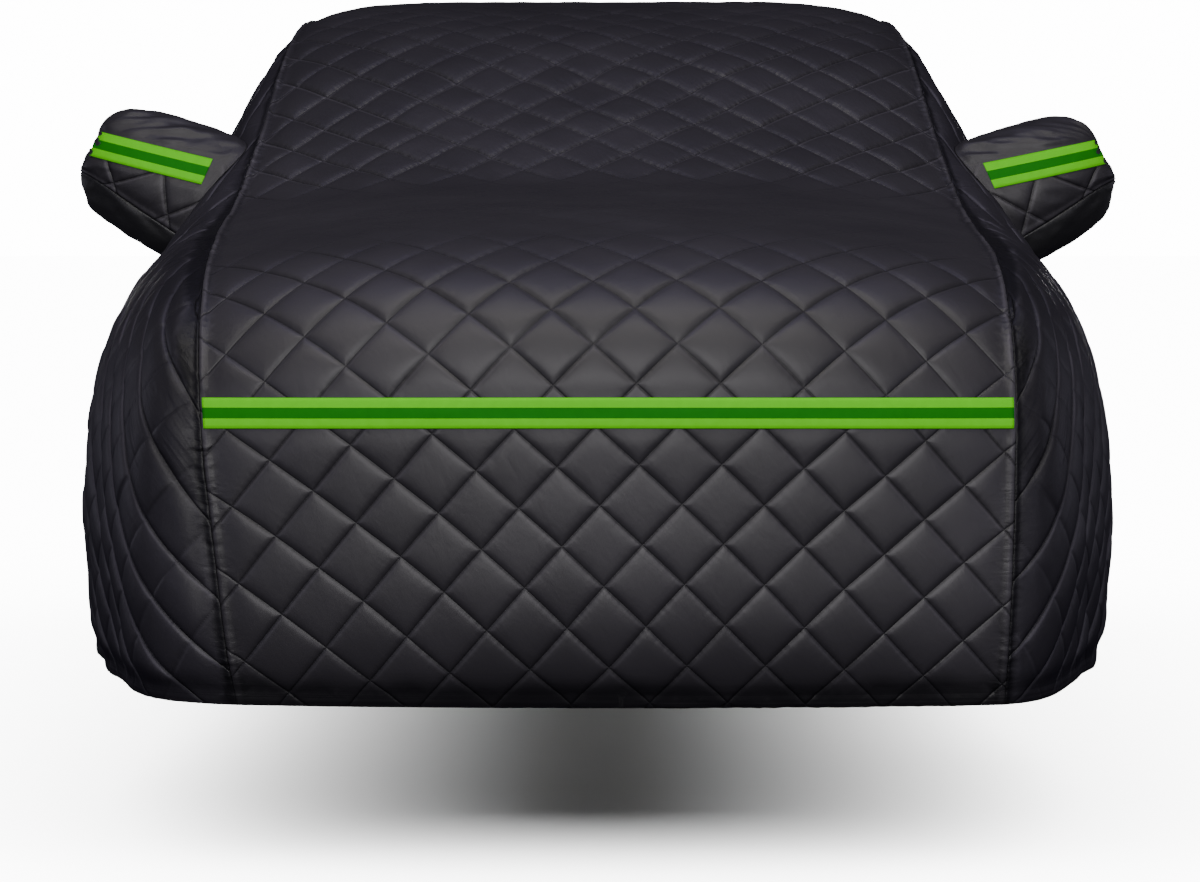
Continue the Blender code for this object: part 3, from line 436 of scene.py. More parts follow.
class Quilt:
    """Lattice of stitched lines.  drift(u, w) is how far the cut cloth wanders from
    a straight lattice; weak is how much less the first family of lines is drawn in."""

    def __init__(self, lean, a0, b0, seed, wobble=1.0, drift=None, weak=0.0):
        self.cos, self.sin = math.cos(lean), math.sin(lean)
        self.a0, self.b0, self.seed, self.wobble = a0, b0, seed, wobble
        self.drift, self.weak = drift, weak

    def slack(self, u, w):
        k, size = self.seed, self.wobble
        da = size * (0.0030 * noise(u / 0.37, w / 0.37, k) + 0.0016 * noise(u / 0.12, w / 0.12, k + 1))
        db = size * (0.0030 * noise(u / 0.37, w / 0.37, k + 2) + 0.0016 * noise(u / 0.12, w / 0.12, k + 3))
        if self.drift:
            extra_a, extra_b, loose = self.drift(u, w)
            da, db = extra_a + da * loose, extra_b + db * loose
        return da, db

    def place(self, p, q):
        """Flat coordinates of the lattice point (p, q), counted in stitched lines."""
        u, w = 0.5 * DIAGONAL * (p + q), 0.5 * DIAGONAL * (p - q)
        da, db = self.slack(u, w)
        return (self.a0 + u * self.cos - w * self.sin + da,
                self.b0 + u * self.sin + w * self.cos + db)

    def count(self, a, b):
        """Lattice place of a flat point."""
        a, b = a - self.a0, b - self.b0
        u, w = a * self.cos + b * self.sin, -a * self.sin + b * self.cos
        for _ in range(6):
            da, db = self.slack(u, w)
            x, y = a - da, b - db
            u, w = x * self.cos + y * self.sin, -x * self.sin + y * self.cos
        return (u + w) / DIAGONAL, (u - w) / DIAGONAL

    def height(self, p, q):
        """Puff of the filling between the stitched lines."""
        ip, iq = np.floor(p), np.floor(q)
        full = np.ones_like(p)
        for x, i, weak in ((p, ip, self.weak), (q, iq, 0.0)):
            f = x - i
            d = np.minimum(f, 1 - f) * LINE
            rise = 0.66 * (1 - np.exp(-d / 0.0048)) + 0.34 * np.sin(math.pi * np.clip(f, 0, 1)) ** 0.85
            full = full * (1 - (1 - weak) * (1 - rise))
        part = 0.86 + 0.20 * (2 * hashed(ip, iq, self.seed + 5) - 1)
        # the filling sits a little unevenly in each diamond
        tilt_p = 0.22 * (2 * hashed(ip, iq, self.seed + 6) - 1)
        tilt_q = 0.22 * (2 * hashed(ip, iq, self.seed + 7) - 1)
        lean = 1 + tilt_p * (p - ip - 0.5) + tilt_q * (q - iq - 0.5)
        return GROOVE + PUFF * full * part * lean


def shares_of(count):
    """Steps across one diamond, close together at the stitches."""
    r = np.linspace(0, 1, count + 1)
    return r - 0.62 * np.sin(2 * math.pi * r) / (2 * math.pi)


# ---------------------------------------------------------------------------
# Meshes
# ---------------------------------------------------------------------------
def new_mesh(name, points, faces, uvs, material):
    data = bpy.data.meshes.new(name)
    faces = [np.asarray(f, dtype=np.int32) for f in faces if len(f)]
    sizes = np.concatenate([np.full(len(f), f.shape[1], np.int32) for f in faces])
    corners = np.concatenate([f.reshape(-1) for f in faces])
    used, corners = np.unique(corners, return_inverse=True)
    points = np.asarray(points, float)[used] - ORIGIN
    data.vertices.add(len(points))
    data.vertices.foreach_set("co", points.astype(np.float32).reshape(-1))
    data.loops.add(len(corners))
    data.loops.foreach_set("vertex_index", corners.astype(np.int32))
    data.polygons.add(len(sizes))
    data.polygons.foreach_set("loop_start", np.concatenate([[0], np.cumsum(sizes)[:-1]]).astype(np.int32))
    data.update(calc_edges=True)
    for key, values in uvs.items():
        layer = data.uv_layers.new(name=key)
        layer.data.foreach_set("uv", np.asarray(values, float)[used][corners].astype(np.float32).reshape(-1))
    if data.validate(verbose=False):
        print(name, "had faces that were mended")
    data.shade_smooth()
    data.materials.append(material)
    thing = bpy.data.objects.new(name, data)
    bpy.context.scene.collection.objects.link(thing)
    triangles = int(sum(sizes - 2))
    print(name, "triangles", triangles)
    return thing


def offset_loop(loop, corners, depth):
    """The loop moved to its left by depth, drawn in at its corners."""
    n = len(loop)
    marks = sorted(corners)
    out = np.zeros_like(loop)
    ends = marks[1:] + [marks[0] + n]
    sides = []
    for s, e in zip(marks, ends):
        index = np.arange(s, e + 1) % n
        line = loop[index]
        step = np.gradient(line, axis=0)
        tangent = unit(step)
        left = np.stack([-tangent[:, 1], tangent[:, 0]], axis=-1)
        run = np.concatenate([[0], np.cumsum(np.linalg.norm(np.diff(line, axis=0), axis=1))])
        sides.append([index, line, tangent, left, run])
    count = len(sides)
    for k, (index, line, tangent, left, run) in enumerate(sides):
        before, after = sides[k - 1], sides[(k + 1) % count]
        shift = left * depth
        for at_start in (True, False):
            n1 = before[3][-1] if at_start else left[-1]
            n2 = left[0] if at_start else after[3][0]
            corner = (n1 + n2) / max(1 + float(n1 @ n2), 0.2) * depth
            t = tangent[0] if at_start else tangent[-1]
            slide = float(corner @ t)
            away = run if at_start else run[-1] - run
            reach = max(4.0 * abs(slide), 1e-6)
            shift = shift + tangent * (slide * np.clip(1 - away / reach, 0, 1))[:, None]
        out[index[:-1]] = (line + shift)[:-1]
    return out


def inside(points, loop, ends=None):
    """Which points lie inside a closed loop, or inside loose edges that close."""
    a, b = loop, np.roll(loop, -1, axis=0) if ends is None else ends
    odd = np.zeros(len(points), bool)
    for s in range(0, len(points), 4000):
        x, y = points[s:s + 4000, 0][:, None], points[s:s + 4000, 1][:, None]
        crosses = (a[:, 1] > y) != (b[:, 1] > y)
        with np.errstate(divide="ignore", invalid="ignore"):
            at = a[:, 0] + (y - a[:, 1]) * (b[:, 0] - a[:, 0]) / (b[:, 1] - a[:, 1])
        odd[s:s + 4000] = (np.sum(crosses & (x < at), axis=1) % 2).astype(bool)
    return odd


def outline(faces):
    """Edges that only one face uses."""
    edges = np.concatenate([np.stack([faces[:, i], faces[:, (i + 1) % faces.shape[1]]], 1)
                            for i in range(faces.shape[1])])
    key = np.sort(edges, axis=1)
    _, index, uses = np.unique(key[:, 0].astype(np.int64) * 10 ** 7 + key[:, 1],
                               return_index=True, return_counts=True)
    return edges[index[uses == 1]]


def bridge(flat, loops, quads):
    """Triangles between the outer loop (first), any hole loops and a field of quads.
    flat holds every vertex's flat place and loops are lists of vertex numbers."""
    rim = outline(quads)
    ids = np.unique(np.concatenate([np.asarray(l) for l in loops] + [rim.reshape(-1)]))
    number = {int(v): i for i, v in enumerate(ids)}
    edges = [(number[int(a)], number[int(b)]) for a, b in rim]
    for loop in loops:
        edges += [(number[int(a)], number[int(b)]) for a, b in zip(loop, np.roll(loop, -1))]
    points = [Vector((float(x), float(y))) for x, y in flat[ids]]
    out_v, _, out_f, orig, _, _ = delaunay_2d_cdt(points, edges, [], 0, 1e-6)
    back = [ids[o[0]] if o else -1 for o in orig]
    faces = np.array([[back[i] for i in f] for f in out_f if len(f) == 3], int)
    faces = faces[(faces >= 0).all(axis=1)]
    middle = flat[faces].mean(axis=1)
    keep = inside(middle, flat[np.asarray(loops[0])])
    for loop in loops[1:]:
        keep &= ~inside(middle, flat[np.asarray(loop)])
    keep &= ~inside(middle, flat[rim[:, 0]], flat[rim[:, 1]])
    faces = faces[keep]
    a, b, c = flat[faces[:, 0]], flat[faces[:, 1]], flat[faces[:, 2]]
    area = (b[:, 0] - a[:, 0]) * (c[:, 1] - a[:, 1]) - (b[:, 1] - a[:, 1]) * (c[:, 0] - a[:, 0])
    faces[area < 0] = faces[area < 0][:, ::-1]
    return faces[np.abs(area) > 1e-12]


def field(panel, steps):
    """Grid of quads on the lattice, kept where it lies clear of the panel's edges."""
    flat = panel.flat
    a = np.array([flat.a.min(), flat.a.max()])
    b = np.array([flat.b.min(), flat.b.max()])
    p, q = panel.quilt.count(np.repeat(a, 2), np.tile(b, 2))
    p = (np.arange(math.floor(p.min()) - 1, math.ceil(p.max()) + 2)[:, None] + steps[None, :-1]).reshape(-1)
    q = (np.arange(math.floor(q.min()) - 1, math.ceil(q.max()) + 2)[:, None] + steps[None, :-1]).reshape(-1)
    grid_p, grid_q = np.meshgrid(p, q, indexing="ij")
    a, b = (g.reshape(-1) for g in panel.quilt.place(grid_p, grid_q))
    x, y, off = flat.back(a, b)
    good = ((off < 5e-4) & panel.clear(x, y, a, b)).reshape(grid_p.shape)
    cells = good[:-1, :-1] & good[1:, :-1] & good[:-1, 1:] & good[1:, 1:]
    # no cell that hangs on by one corner
    for _ in range(3):
        wide = np.pad(cells, 1)
        near = wide[:-2, 1:-1].astype(int) + wide[2:, 1:-1] + wide[1:-1, :-2] + wide[1:-1, 2:]
        cells &= near >= 2
    number = np.arange(grid_p.size).reshape(grid_p.shape)
    i, j = np.nonzero(cells)
    # p runs up to the right and q down to the right, so this ring turns left
    quads = np.stack([number[i, j], number[i, j + 1], number[i + 1, j + 1], number[i + 1, j]], 1)
    return (np.stack([a, b], 1), np.stack([x, y], 1),
            np.stack([grid_p.reshape(-1), grid_q.reshape(-1)], 1), quads)


# ---------------------------------------------------------------------------
# Seams, hems: profiles across their width, in metres from the edge
# ---------------------------------------------------------------------------
BAND = (0.0, 0.0022, 0.0055, 0.0095, 0.0140, 0.0190)
SEAM_STEP = 0.0044
HEM_STEP = 0.0080


def gathers(along, depth, seed, wave, size, reach):
    """Small folds across a seam, bunched here and there."""
    bend = along + 0.9 * wave * noise(along / (2.3 * wave), depth / 0.02, seed)
    swing = 0.30 * np.sin(2 * math.pi * bend / wave + 2.2 * noise(along / (2.2 * wave), 0.5, seed + 1))
    swing = swing + 0.45 * noise(bend / (0.62 * wave), depth / 0.016, seed + 2)
    swing = swing + 0.55 * noise(bend / (1.45 * wave), depth / 0.022, seed + 4)
    bunch = 0.30 + 0.95 * smooth(-0.15, 0.65, noise(along / 0.17, 0.0, seed + 3))
    return size * swing * bunch * np.exp(-(depth / reach) ** 2)


def seam_profile(depth, along, seed, ridge, width):
    """Edge beside a seam: sunk at the stitches, a flat puckered binding, then its foot."""
    top = smooth(0.0, 0.22 * width, depth) * (1 - smooth(0.62 * width, 0.90 * width, depth))
    wander = 1.0 + 0.35 * noise(along / 0.13, 0.7, seed + 9) + 0.25 * noise(along / 0.03, 0.7, seed + 10)
    h = ridge * top * wander - 0.0012 * np.exp(-(depth / 0.0018) ** 2)
    h = h - 0.0012 * np.exp(-((depth - 0.95 * width) / 0.0026) ** 2)
    return h + gathers(along, depth - 0.45 * width, seed, 0.0155, 0.0026, 0.016)


def hem_profile(depth, along, seed):
    """Turned-up hem with its elastic: a soft roll and one row of stitches."""
    roll = 0.0022 * np.sqrt(np.clip(1 - ((depth - 0.010) / 0.0115) ** 2, 0, 1))
    stitch = -0.0007 * np.exp(-((depth - 0.0225) / 0.0022) ** 2)
    return roll + stitch - 0.0004 + gathers(along, depth, seed, 0.031, 0.0011, 0.034)


# ---------------------------------------------------------------------------
# The centre panel and the side panels
# ---------------------------------------------------------------------------
def seam_steps():
    """Places along the seams that both panels share, with the two corners among them."""
    out = []
    for low, high in ((0.0, V_FRONT), (V_FRONT, V_REAR), (V_REAR, V_END)):
        count = int(round((high - low) / SEAM_STEP))
        out.append(np.linspace(low, high, count + 1)[:-1])
    return np.concatenate(out + [[V_END]])


SEAM_V = seam_steps()
I_FRONT = int(np.argmin(np.abs(SEAM_V - V_FRONT)))
I_REAR = int(np.argmin(np.abs(SEAM_V - V_REAR)))
W_FINE = np.linspace(0, 1, 2001)
NOSE_W = np.interp(SEAM_V[:I_FRONT + 1], NOSE_V(W_FINE)[:, 0], W_FINE)
TAIL_W = np.interp(SEAM_V[I_REAR:], TAIL_V(W_FINE)[::-1, 0], W_FINE[::-1])
TOP_C = np.interp(SEAM_V[I_FRONT:I_REAR + 1], v_on_top(np.linspace(0, 1, 4001)), np.linspace(0, 1, 4001))
NOSE_W[0], NOSE_W[-1], TAIL_W[0], TAIL_W[-1], TOP_C[0], TOP_C[-1] = 0, 1, 1, 0, 0, 1


def c_of(r):
    """Share along a side panel, with short steps at both corners."""
    return 0.5 * (1 - np.cos(math.pi * r))


def r_of(c):
    return np.arccos(np.clip(1 - 2 * np.asarray(c, float), -1, 1)) / math.pi


def mitre(sign):
    nose = side_normal(sign, np.zeros(I_FRONT), NOSE_W[:-1], side_base)
    top = side_normal(sign, TOP_C, np.ones(len(TOP_C)), side_base)
    tail = side_normal(sign, np.ones(len(TAIL_W) - 1), TAIL_W[1:], side_base)
    return unit(np.concatenate([nose, top, tail]) + centre_normal(np.full(len(SEAM_V), float(sign)), SEAM_V))


MITRE = {-1: mitre(-1), 1: mitre(1)}


class Panel:
    pass


def build_panel(name, panel, material, steps_per_line, lining_step):
    """One closed piece: quilted face, seam and hem bands, plain lining, rim."""
    flat = panel.flat
    m = len(panel.loop_xy)
    points, places, lattice, edge = [], [], [], []
    total = 0

    def add(xy, ab, pq, en):
        nonlocal total
        points.append(xy)
        places.append(ab)
        lattice.append(pq)
        edge.append(en)
        total += len(xy)
        return np.arange(total - len(xy), total)

    # bands along every loop, from the edge inwards
    rings = []
    bands = []
    for loop in panel.loops:
        levels = []
        for k, depth in enumerate(loop["depths"]):
            if k == 0:
                xy, ab = loop["xy"], loop["ab"]
            else:
                ab = offset_loop(loop["ab"], loop["corners"], depth)
                x, y, off = flat.back(ab[:, 0], ab[:, 1])
                xy = np.stack([x, y], 1)
            pq = np.stack(panel.quilt.count(ab[:, 0], ab[:, 1]), 1)
            levels.append(add(xy, ab, pq, None))
        for k in range(len(levels) - 1):
            low, high = levels[k], levels[k + 1]
            bands.append(np.stack([low, np.roll(low, -1), np.roll(high, -1), high], 1))
        rings.append(levels)

    # quilted field
    ab, xy, pq, quads = field(panel, shares_of(steps_per_line))
    start = total
    add(xy, ab, pq, None)
    quads = quads + start

    all_ab = np.concatenate(places)
    between = bridge(all_ab, [r[-1] for r in rings], quads)
    all_xy, all_pq = np.concatenate(points), np.concatenate(lattice)
    used = np.unique(np.concatenate([quads.reshape(-1), between.reshape(-1)]
                                    + [b.reshape(-1) for b in bands]))
    base, normal = panel.surface(all_xy[used]), panel.normal(all_xy[used])
    fixed = np.full(total, -1)
    fixed[rings[0][0]] = np.arange(m)
    pinned = fixed[used] >= 0
    base[pinned] = panel.loop_points[fixed[used][pinned]]
    normal[pinned] = panel.loop_normals[fixed[used][pinned]]
    height, edges, painted_light_and_shade, fade = panel.height(all_xy[used], all_ab[used], all_pq[used])
    face = np.zeros((total, 3))
    face[used] = base + normal * height[:, None]
    edge_uv, painted_light_and_shade_uv, fade_uv = (np.zeros((total, 2)) for _ in range(3))
    edge_uv[used] = edges
    painted_light_and_shade_uv[used] = painted_light_and_shade
    fade_uv[used] = fade

    # lining: same edge loops, a coarse field
    lining_ab, lining_xy = [], []
    lining_loops = []
    extra = 0
    for loop, levels in zip(panel.loops, rings):
        lining_ab.append(all_ab[levels[0]])
        lining_xy.append(all_xy[levels[0]])
        lining_loops.append(np.arange(extra, extra + len(levels[0])))
        extra += len(levels[0])
    ga = np.arange(flat.a.min(), flat.a.max() + lining_step, lining_step)
    gb = np.arange(flat.b.min(), flat.b.max() + lining_step, lining_step)
    grid_a, grid_b = np.meshgrid(ga, gb, indexing="ij")
    x, y, off = flat.back(grid_a.reshape(-1), grid_b.reshape(-1))
    good = ((off < 5e-4) & panel.clear(x, y, grid_a.reshape(-1), grid_b.reshape(-1))).reshape(grid_a.shape)
    cells_l = good[:-1, :-1] & good[1:, :-1] & good[:-1, 1:] & good[1:, 1:]
    number = np.arange(grid_a.size).reshape(grid_a.shape) + extra
    i, j = np.nonzero(cells_l)
    quads_l = np.stack([number[i, j], number[i + 1, j], number[i + 1, j + 1], number[i, j + 1]], 1)
    lining_ab.append(np.stack([grid_a.reshape(-1), grid_b.reshape(-1)], 1))
    lining_xy.append(np.stack([x, y], 1))
    lining_ab, lining_xy = np.concatenate(lining_ab), np.concatenate(lining_xy)
    between_l = bridge(lining_ab, lining_loops, quads_l)
    base, normal = panel.surface(lining_xy), panel.normal(lining_xy)
    base[:m], normal[:m] = panel.loop_points, panel.loop_normals
    lining_pq = np.full((len(lining_ab), 2), 0.5)
    back = base - normal * (CLOTH + 0.0004)

    count = total
    faces = bands + [quads, between, quads_l[:, ::-1] + count, between_l[:, ::-1] + count]
    for levels, loop in zip(rings, lining_loops):
        low, high = loop + count, levels[0]
        faces.append(np.stack([low, np.roll(low, -1), np.roll(high, -1), high], 1))
    if panel.flip:
        faces = [f[:, ::-1] for f in faces]
    uvs = {"flat": np.concatenate([all_ab, lining_ab]),
           "lattice": np.concatenate([all_pq, lining_pq]),
           "edge": np.concatenate([edge_uv, np.tile([0.0, 0.2], (len(lining_ab), 1))]),
           "painted_light_and_shade": np.concatenate([painted_light_and_shade_uv, np.tile([0.0, 0.6], (len(lining_ab), 1))]),
           "fade": np.concatenate([fade_uv, np.tile([0.0, 0.3], (len(lining_ab), 1))])}
    return new_mesh(name, np.concatenate([face, back]), faces, uvs, material)


def centre_panel_data():
    panel = Panel()
    panel.flip = False
    flat = Flat(centre, (-1.0, 1.0), (0.0, V_END), 201, 1601)
    middle = flat.nx // 2
    shift = STATION(flat.y)[:, 3] - STATION(flat.y)[:, 2]
    flat.a = flat.a - flat.a[middle][None, :] + 0.5 * shift[None, :]
    at = int(np.argmin(np.abs(flat.y - BONNET_V)))
    origin = np.interp(ROW_V, flat.y, flat.b[middle])
    flat.b = flat.b - flat.b[:, at][:, None] + (flat.b[middle, at] - origin)
    panel.flat = flat
    panel.quilt = Quilt(CENTRE_LEAN, CENTRE_A0, CENTRE_B0, 11, 0.7, centre_drift)
    panel.surface = lambda xy: centre(xy[:, 0], xy[:, 1])
    panel.normal = lambda xy: centre_normal(xy[:, 0], xy[:, 1])

    hem = int(round(1.27 / HEM_STEP))
    across = np.linspace(-1, 1, hem + 1)
    t = np.concatenate([across[:-1], np.ones(len(SEAM_V) - 1), across[::-1][:-1], -np.ones(len(SEAM_V) - 1)])
    v = np.concatenate([np.zeros(hem), SEAM_V[:-1], np.full(hem, V_END), SEAM_V[::-1][:-1]])
    n = len(SEAM_V) - 1
    corners = [0, hem, hem + n, 2 * hem + n]
    panel.loop_xy = np.stack([t, v], 1)
    a, b = flat.forward(t, v)
    panel.loops = [{"xy": panel.loop_xy, "ab": np.stack([a, b], 1), "corners": corners, "depths": BAND}]
    points = centre(t, v)
    normals = centre_normal(t, v)
    normals[hem:hem + n + 1] = MITRE[1]
    normals[2 * hem + n:] = MITRE[-1][::-1][:-1]
    normals[0] = MITRE[-1][0]
    inward = unit(centre(np.clip(t, -0.97, 0.97), v) - points)
    on_seam = np.abs(np.abs(t) - 1) < 1e-9
    points = points + inward * np.where(on_seam, 0.5 * SEAM_GAP, 0.0)[:, None]
    panel.loop_points, panel.loop_normals = points, normals

    half_a = lambda v: 0.5 * (STATION(v)[..., 2] + STATION(v)[..., 3])

    def depths(xy, ab):
        t, v = xy[:, 0], xy[:, 1]
        left = ab[:, 0] - flat.forward(np.full(len(t), -1.0), v)[0]
        right = flat.forward(np.full(len(t), 1.0), v)[0] - ab[:, 0]
        front = ab[:, 1] - flat.forward(t, np.zeros(len(t)))[1]
        rear = flat.forward(t, np.full(len(t), V_END))[1] - ab[:, 1]
        return left, right, front, rear

    def clear(x, y, a, b):
        left, right, front, rear = depths(np.stack([x, y], 1), np.stack([a, b], 1))
        return (np.minimum(left, right) > 0.0235) & (np.minimum(front, rear) > 0.0235)

    panel.clear = clear

    def height(xy, ab, pq):
        left, right, front, rear = (np.maximum(d, 0) for d in depths(xy, ab))
        side_d = np.minimum(left, right)
        on_right = right < left
        v = xy[:, 1]
        along = v + 10 * on_right
        # pulled smooth over the bonnet's rear, loose on the windscreen
        band = smooth(0.90, 1.03, v) * (1 - smooth(1.90, 2.02, v))
        glass = smooth(1.95, 2.06, v) * (1 - 0.6 * smooth(2.9, 3.2, v))
        h = panel.quilt.height(pq[:, 0], pq[:, 1]) * (1 - 0.88 * band) * (0.80 + 0.20 * smooth(0.50, 0.62, v))
        # stretched flatter over the roof
        roof = smooth(2.80, 3.10, v) * (1 - smooth(3.65, 3.95, v))
        h = h * (1 - 0.50 * roof)
        glass = glass * (1 - 0.65 * roof)
        # slack of the whole cloth between the seams
        h = h + 0.0011 * (1 - 0.7 * roof) * noise(ab[:, 0] / 0.26, ab[:, 1] / 0.31, 41) + 0.0006 * noise(ab[:, 0] / 0.09, ab[:, 1] / 0.10, 42)
        h = h + glass * (0.0022 * noise(ab[:, 0] / 0.13, ab[:, 1] / 0.11, 45) + 0.0010 * noise(ab[:, 0] / 0.05, ab[:, 1] / 0.045, 46))
        near = smooth(SEAM_WIDTH, SEAM_WIDTH + 0.040, side_d)
        upper = smooth(0.40, 0.50, v)
        seam_h = seam_profile(side_d, along, 21, 0.0024 + 0.0016 * upper, SEAM_WIDTH)
        h = h * near + seam_h * (1 - smooth(SEAM_WIDTH, SEAM_WIDTH + 0.016, side_d))
        end_d = np.minimum(front, rear)
        near = smooth(0.024, 0.070, end_d)
        hem_h = hem_profile(end_d, ab[:, 0] + 5 * (rear < front), 31)
        share = 1 - smooth(0.024, 0.034, end_d)
        h = h * near + hem_h * share
        # the tape holds the filling down
        z = centre(xy[:, 0], xy[:, 1])[:, 2]
        off = np.abs(z - front_tape_z(xy[:, 0]))
        under = (1 - smooth(0.5 * TAPE_WIDTH + 0.006, 0.5 * TAPE_WIDTH + 0.022, off)) * (v < V_FRONT)
        h = h * (1 - under) + under * np.clip(0.22 * h, -0.001, 0.0012)
        # painted highlight along the seam binding, lighter than the cloth, and painted shadow down the stitch groove
        # and at the binding's foot
        patch = 0.30 + 0.70 * smooth(-0.5, 0.5, noise(along / 0.16, 0.3, 27) + 0.7 * noise(along / 0.030, side_d / 0.008, 28))
        foot = 0.0125 + 0.0030 * noise(along / 0.045, 0.4, 26)
        light = smooth(0.0, 0.0020, side_d) * (1 - smooth(foot - 0.0030, foot, side_d)) * patch
        light = light * (0.45 + 0.75 * upper * (1 - 0.5 * smooth(1.1, 1.5, v)))
        painted_shade = 0.8 * np.exp(-(side_d / 0.0018) ** 2) + 0.45 * np.exp(-((side_d - foot - 0.003) / 0.0030) ** 2)
        # painted shade near the hem, where the cloth turns under
        edge_wave = end_d + 0.010 * noise(ab[:, 0] / 0.05, 0.2, 25)
        painted_shade = painted_shade + 0.85 * (1 - smooth(0.030, 0.064, edge_wave))
        fade = np.stack([1 - 0.80 * band, 0.22 + 0.78 * glass], 1)
        return h, np.stack([along, np.minimum(side_d, end_d)], 1), np.stack([light, np.clip(painted_shade, 0, 1)], 1), fade

    panel.height = height
    return panel


def side_panel_data(sign):
    panel = Panel()
    panel.flip = sign < 0
    surface = lambda r, w: side(sign, c_of(r), w)
    flat = Flat(surface, (0.0, 1.0), (0.0, 1.0), 901, 121)
    middle = flat.nx // 2
    row = int(np.argmin(np.abs(flat.y - 0.34)))
    flat.a = flat.a - flat.a[middle][None, :]
    flat.b = flat.b - flat.b[:, row][:, None]
    panel.flat = flat
    lean, offset = SIDE_QUILT[sign]
    panel.quilt = Quilt(lean, flat.a[0].mean() + offset, 0.0, 61 if sign > 0 else 81, 1.6, side_drift, SIDE_WEAK)
    panel.surface = lambda xy: side(sign, c_of(xy[:, 0]), xy[:, 1])
    panel.normal = lambda xy: side_normal(sign, c_of(xy[:, 0]), xy[:, 1], side)

    hem = int(round(4.5 / HEM_STEP))
    along = r_of(np.linspace(0, 1, hem + 1))
    n_tail, n_top, n_nose = len(TAIL_W) - 1, len(TOP_C) - 1, len(NOSE_W) - 1
    r = np.concatenate([along[:-1], np.ones(n_tail), r_of(TOP_C[::-1][:-1]), np.zeros(n_nose)])
    w = np.concatenate([np.zeros(hem), TAIL_W[::-1][:-1], np.ones(n_top), NOSE_W[::-1][:-1]])
    corners = [0, hem, hem + n_tail, hem + n_tail + n_top]
    panel.loop_xy = np.stack([r, w], 1)
    a, b = flat.forward(r, w)
    panel.loops = [{"xy": panel.loop_xy, "ab": np.stack([a, b], 1), "corners": corners, "depths": BAND}]
    seam_index = np.concatenate([np.full(hem, -1), np.arange(len(SEAM_V) - 1, -1, -1)])[:len(r)]
    points = side(sign, c_of(r), w)
    normals = side_normal(sign, c_of(r), w, side)
    on_seam = seam_index >= 0
    points[on_seam] = seam(sign, SEAM_V[seam_index[on_seam]])
    normals[on_seam] = MITRE[sign][seam_index[on_seam]]
    points[0] = seam(sign, SEAM_V[:1])[0]
    normals[0] = MITRE[sign][0]
    near = side(sign, np.clip(c_of(r), 0.01, 0.99), np.clip(w, 0.0, 0.97))
    inward = unit(near - points)
    points = points + inward * np.where(on_seam, 0.5 * SEAM_GAP, 0.0)[:, None]
    panel.loop_points, panel.loop_normals = points, normals

    # the way into the mirror pocket
    edges = []
    c_low, c_high = ((HOLE[k] - TOP_LOW) / (TOP_HIGH - TOP_LOW) for k in ("front_y", "rear_y"))
    w_low, w_high = HOLE["low_row"], HOLE["high_row"]
    steps = 10
    s = np.linspace(0, 1, steps + 1)[:-1]
    cc = np.concatenate([np.full(steps, c_low), c_low + (c_high - c_low) * s,
                         np.full(steps, c_high), c_high + (c_low - c_high) * s])
    ww = np.concatenate([w_low + (w_high - w_low) * s, np.full(steps, w_high),
                         w_high + (w_low - w_high) * s, np.full(steps, w_low)])
    rr = r_of(cc)
    ha, hb = flat.forward(rr, ww)
    hole = np.stack([ha, hb], 1)
    panel.loops.append({"xy": np.stack([rr, ww], 1), "ab": hole, "corners": [0, steps, 2 * steps, 3 * steps],
                        "depths": (0.0, 0.006)})
    hole_clear = offset_loop(hole, [0, steps, 2 * steps, 3 * steps], 0.011)

    # the pocket's root on this panel
    ring_y, ring_z = pocket_root(sign)
    rc, rw = locate(sign, ring_y, ring_z)
    ra, rb = flat.forward(r_of(rc), rw)
    ring = np.stack([ra, rb], 1)

    def depths(xy, ab):
        r, w = xy[:, 0], xy[:, 1]
        one = np.ones(len(r))
        nose = ab[:, 0] - flat.forward(0 * one, w)[0]
        tail = flat.forward(one, w)[0] - ab[:, 0]
        low = ab[:, 1] - flat.forward(r, 0 * one)[1]
        high = flat.forward(r, one)[1] - ab[:, 1]
        return nose, tail, low, high

    def clear(x, y, a, b):
        nose, tail, low, high = depths(np.stack([x, y], 1), np.stack([a, b], 1))
        good = (np.minimum(nose, tail) > 0.0245) & (np.minimum(low, high) > 0.0245)
        box = (a > hole_clear[:, 0].min() - 0.01) & (a < hole_clear[:, 0].max() + 0.01) \
            & (b > hole_clear[:, 1].min() - 0.01) & (b < hole_clear[:, 1].max() + 0.01)
        which = np.nonzero(good & box)[0]
        if len(which):
            good[which[inside(np.stack([a[which], b[which]], 1), hole_clear)]] = False
        return good

    panel.clear = clear

    def height(xy, ab, pq):
        nose, tail, low, high = (np.maximum(d, 0) for d in depths(xy, ab))
        h = panel.quilt.height(pq[:, 0], pq[:, 1]) * 1.55
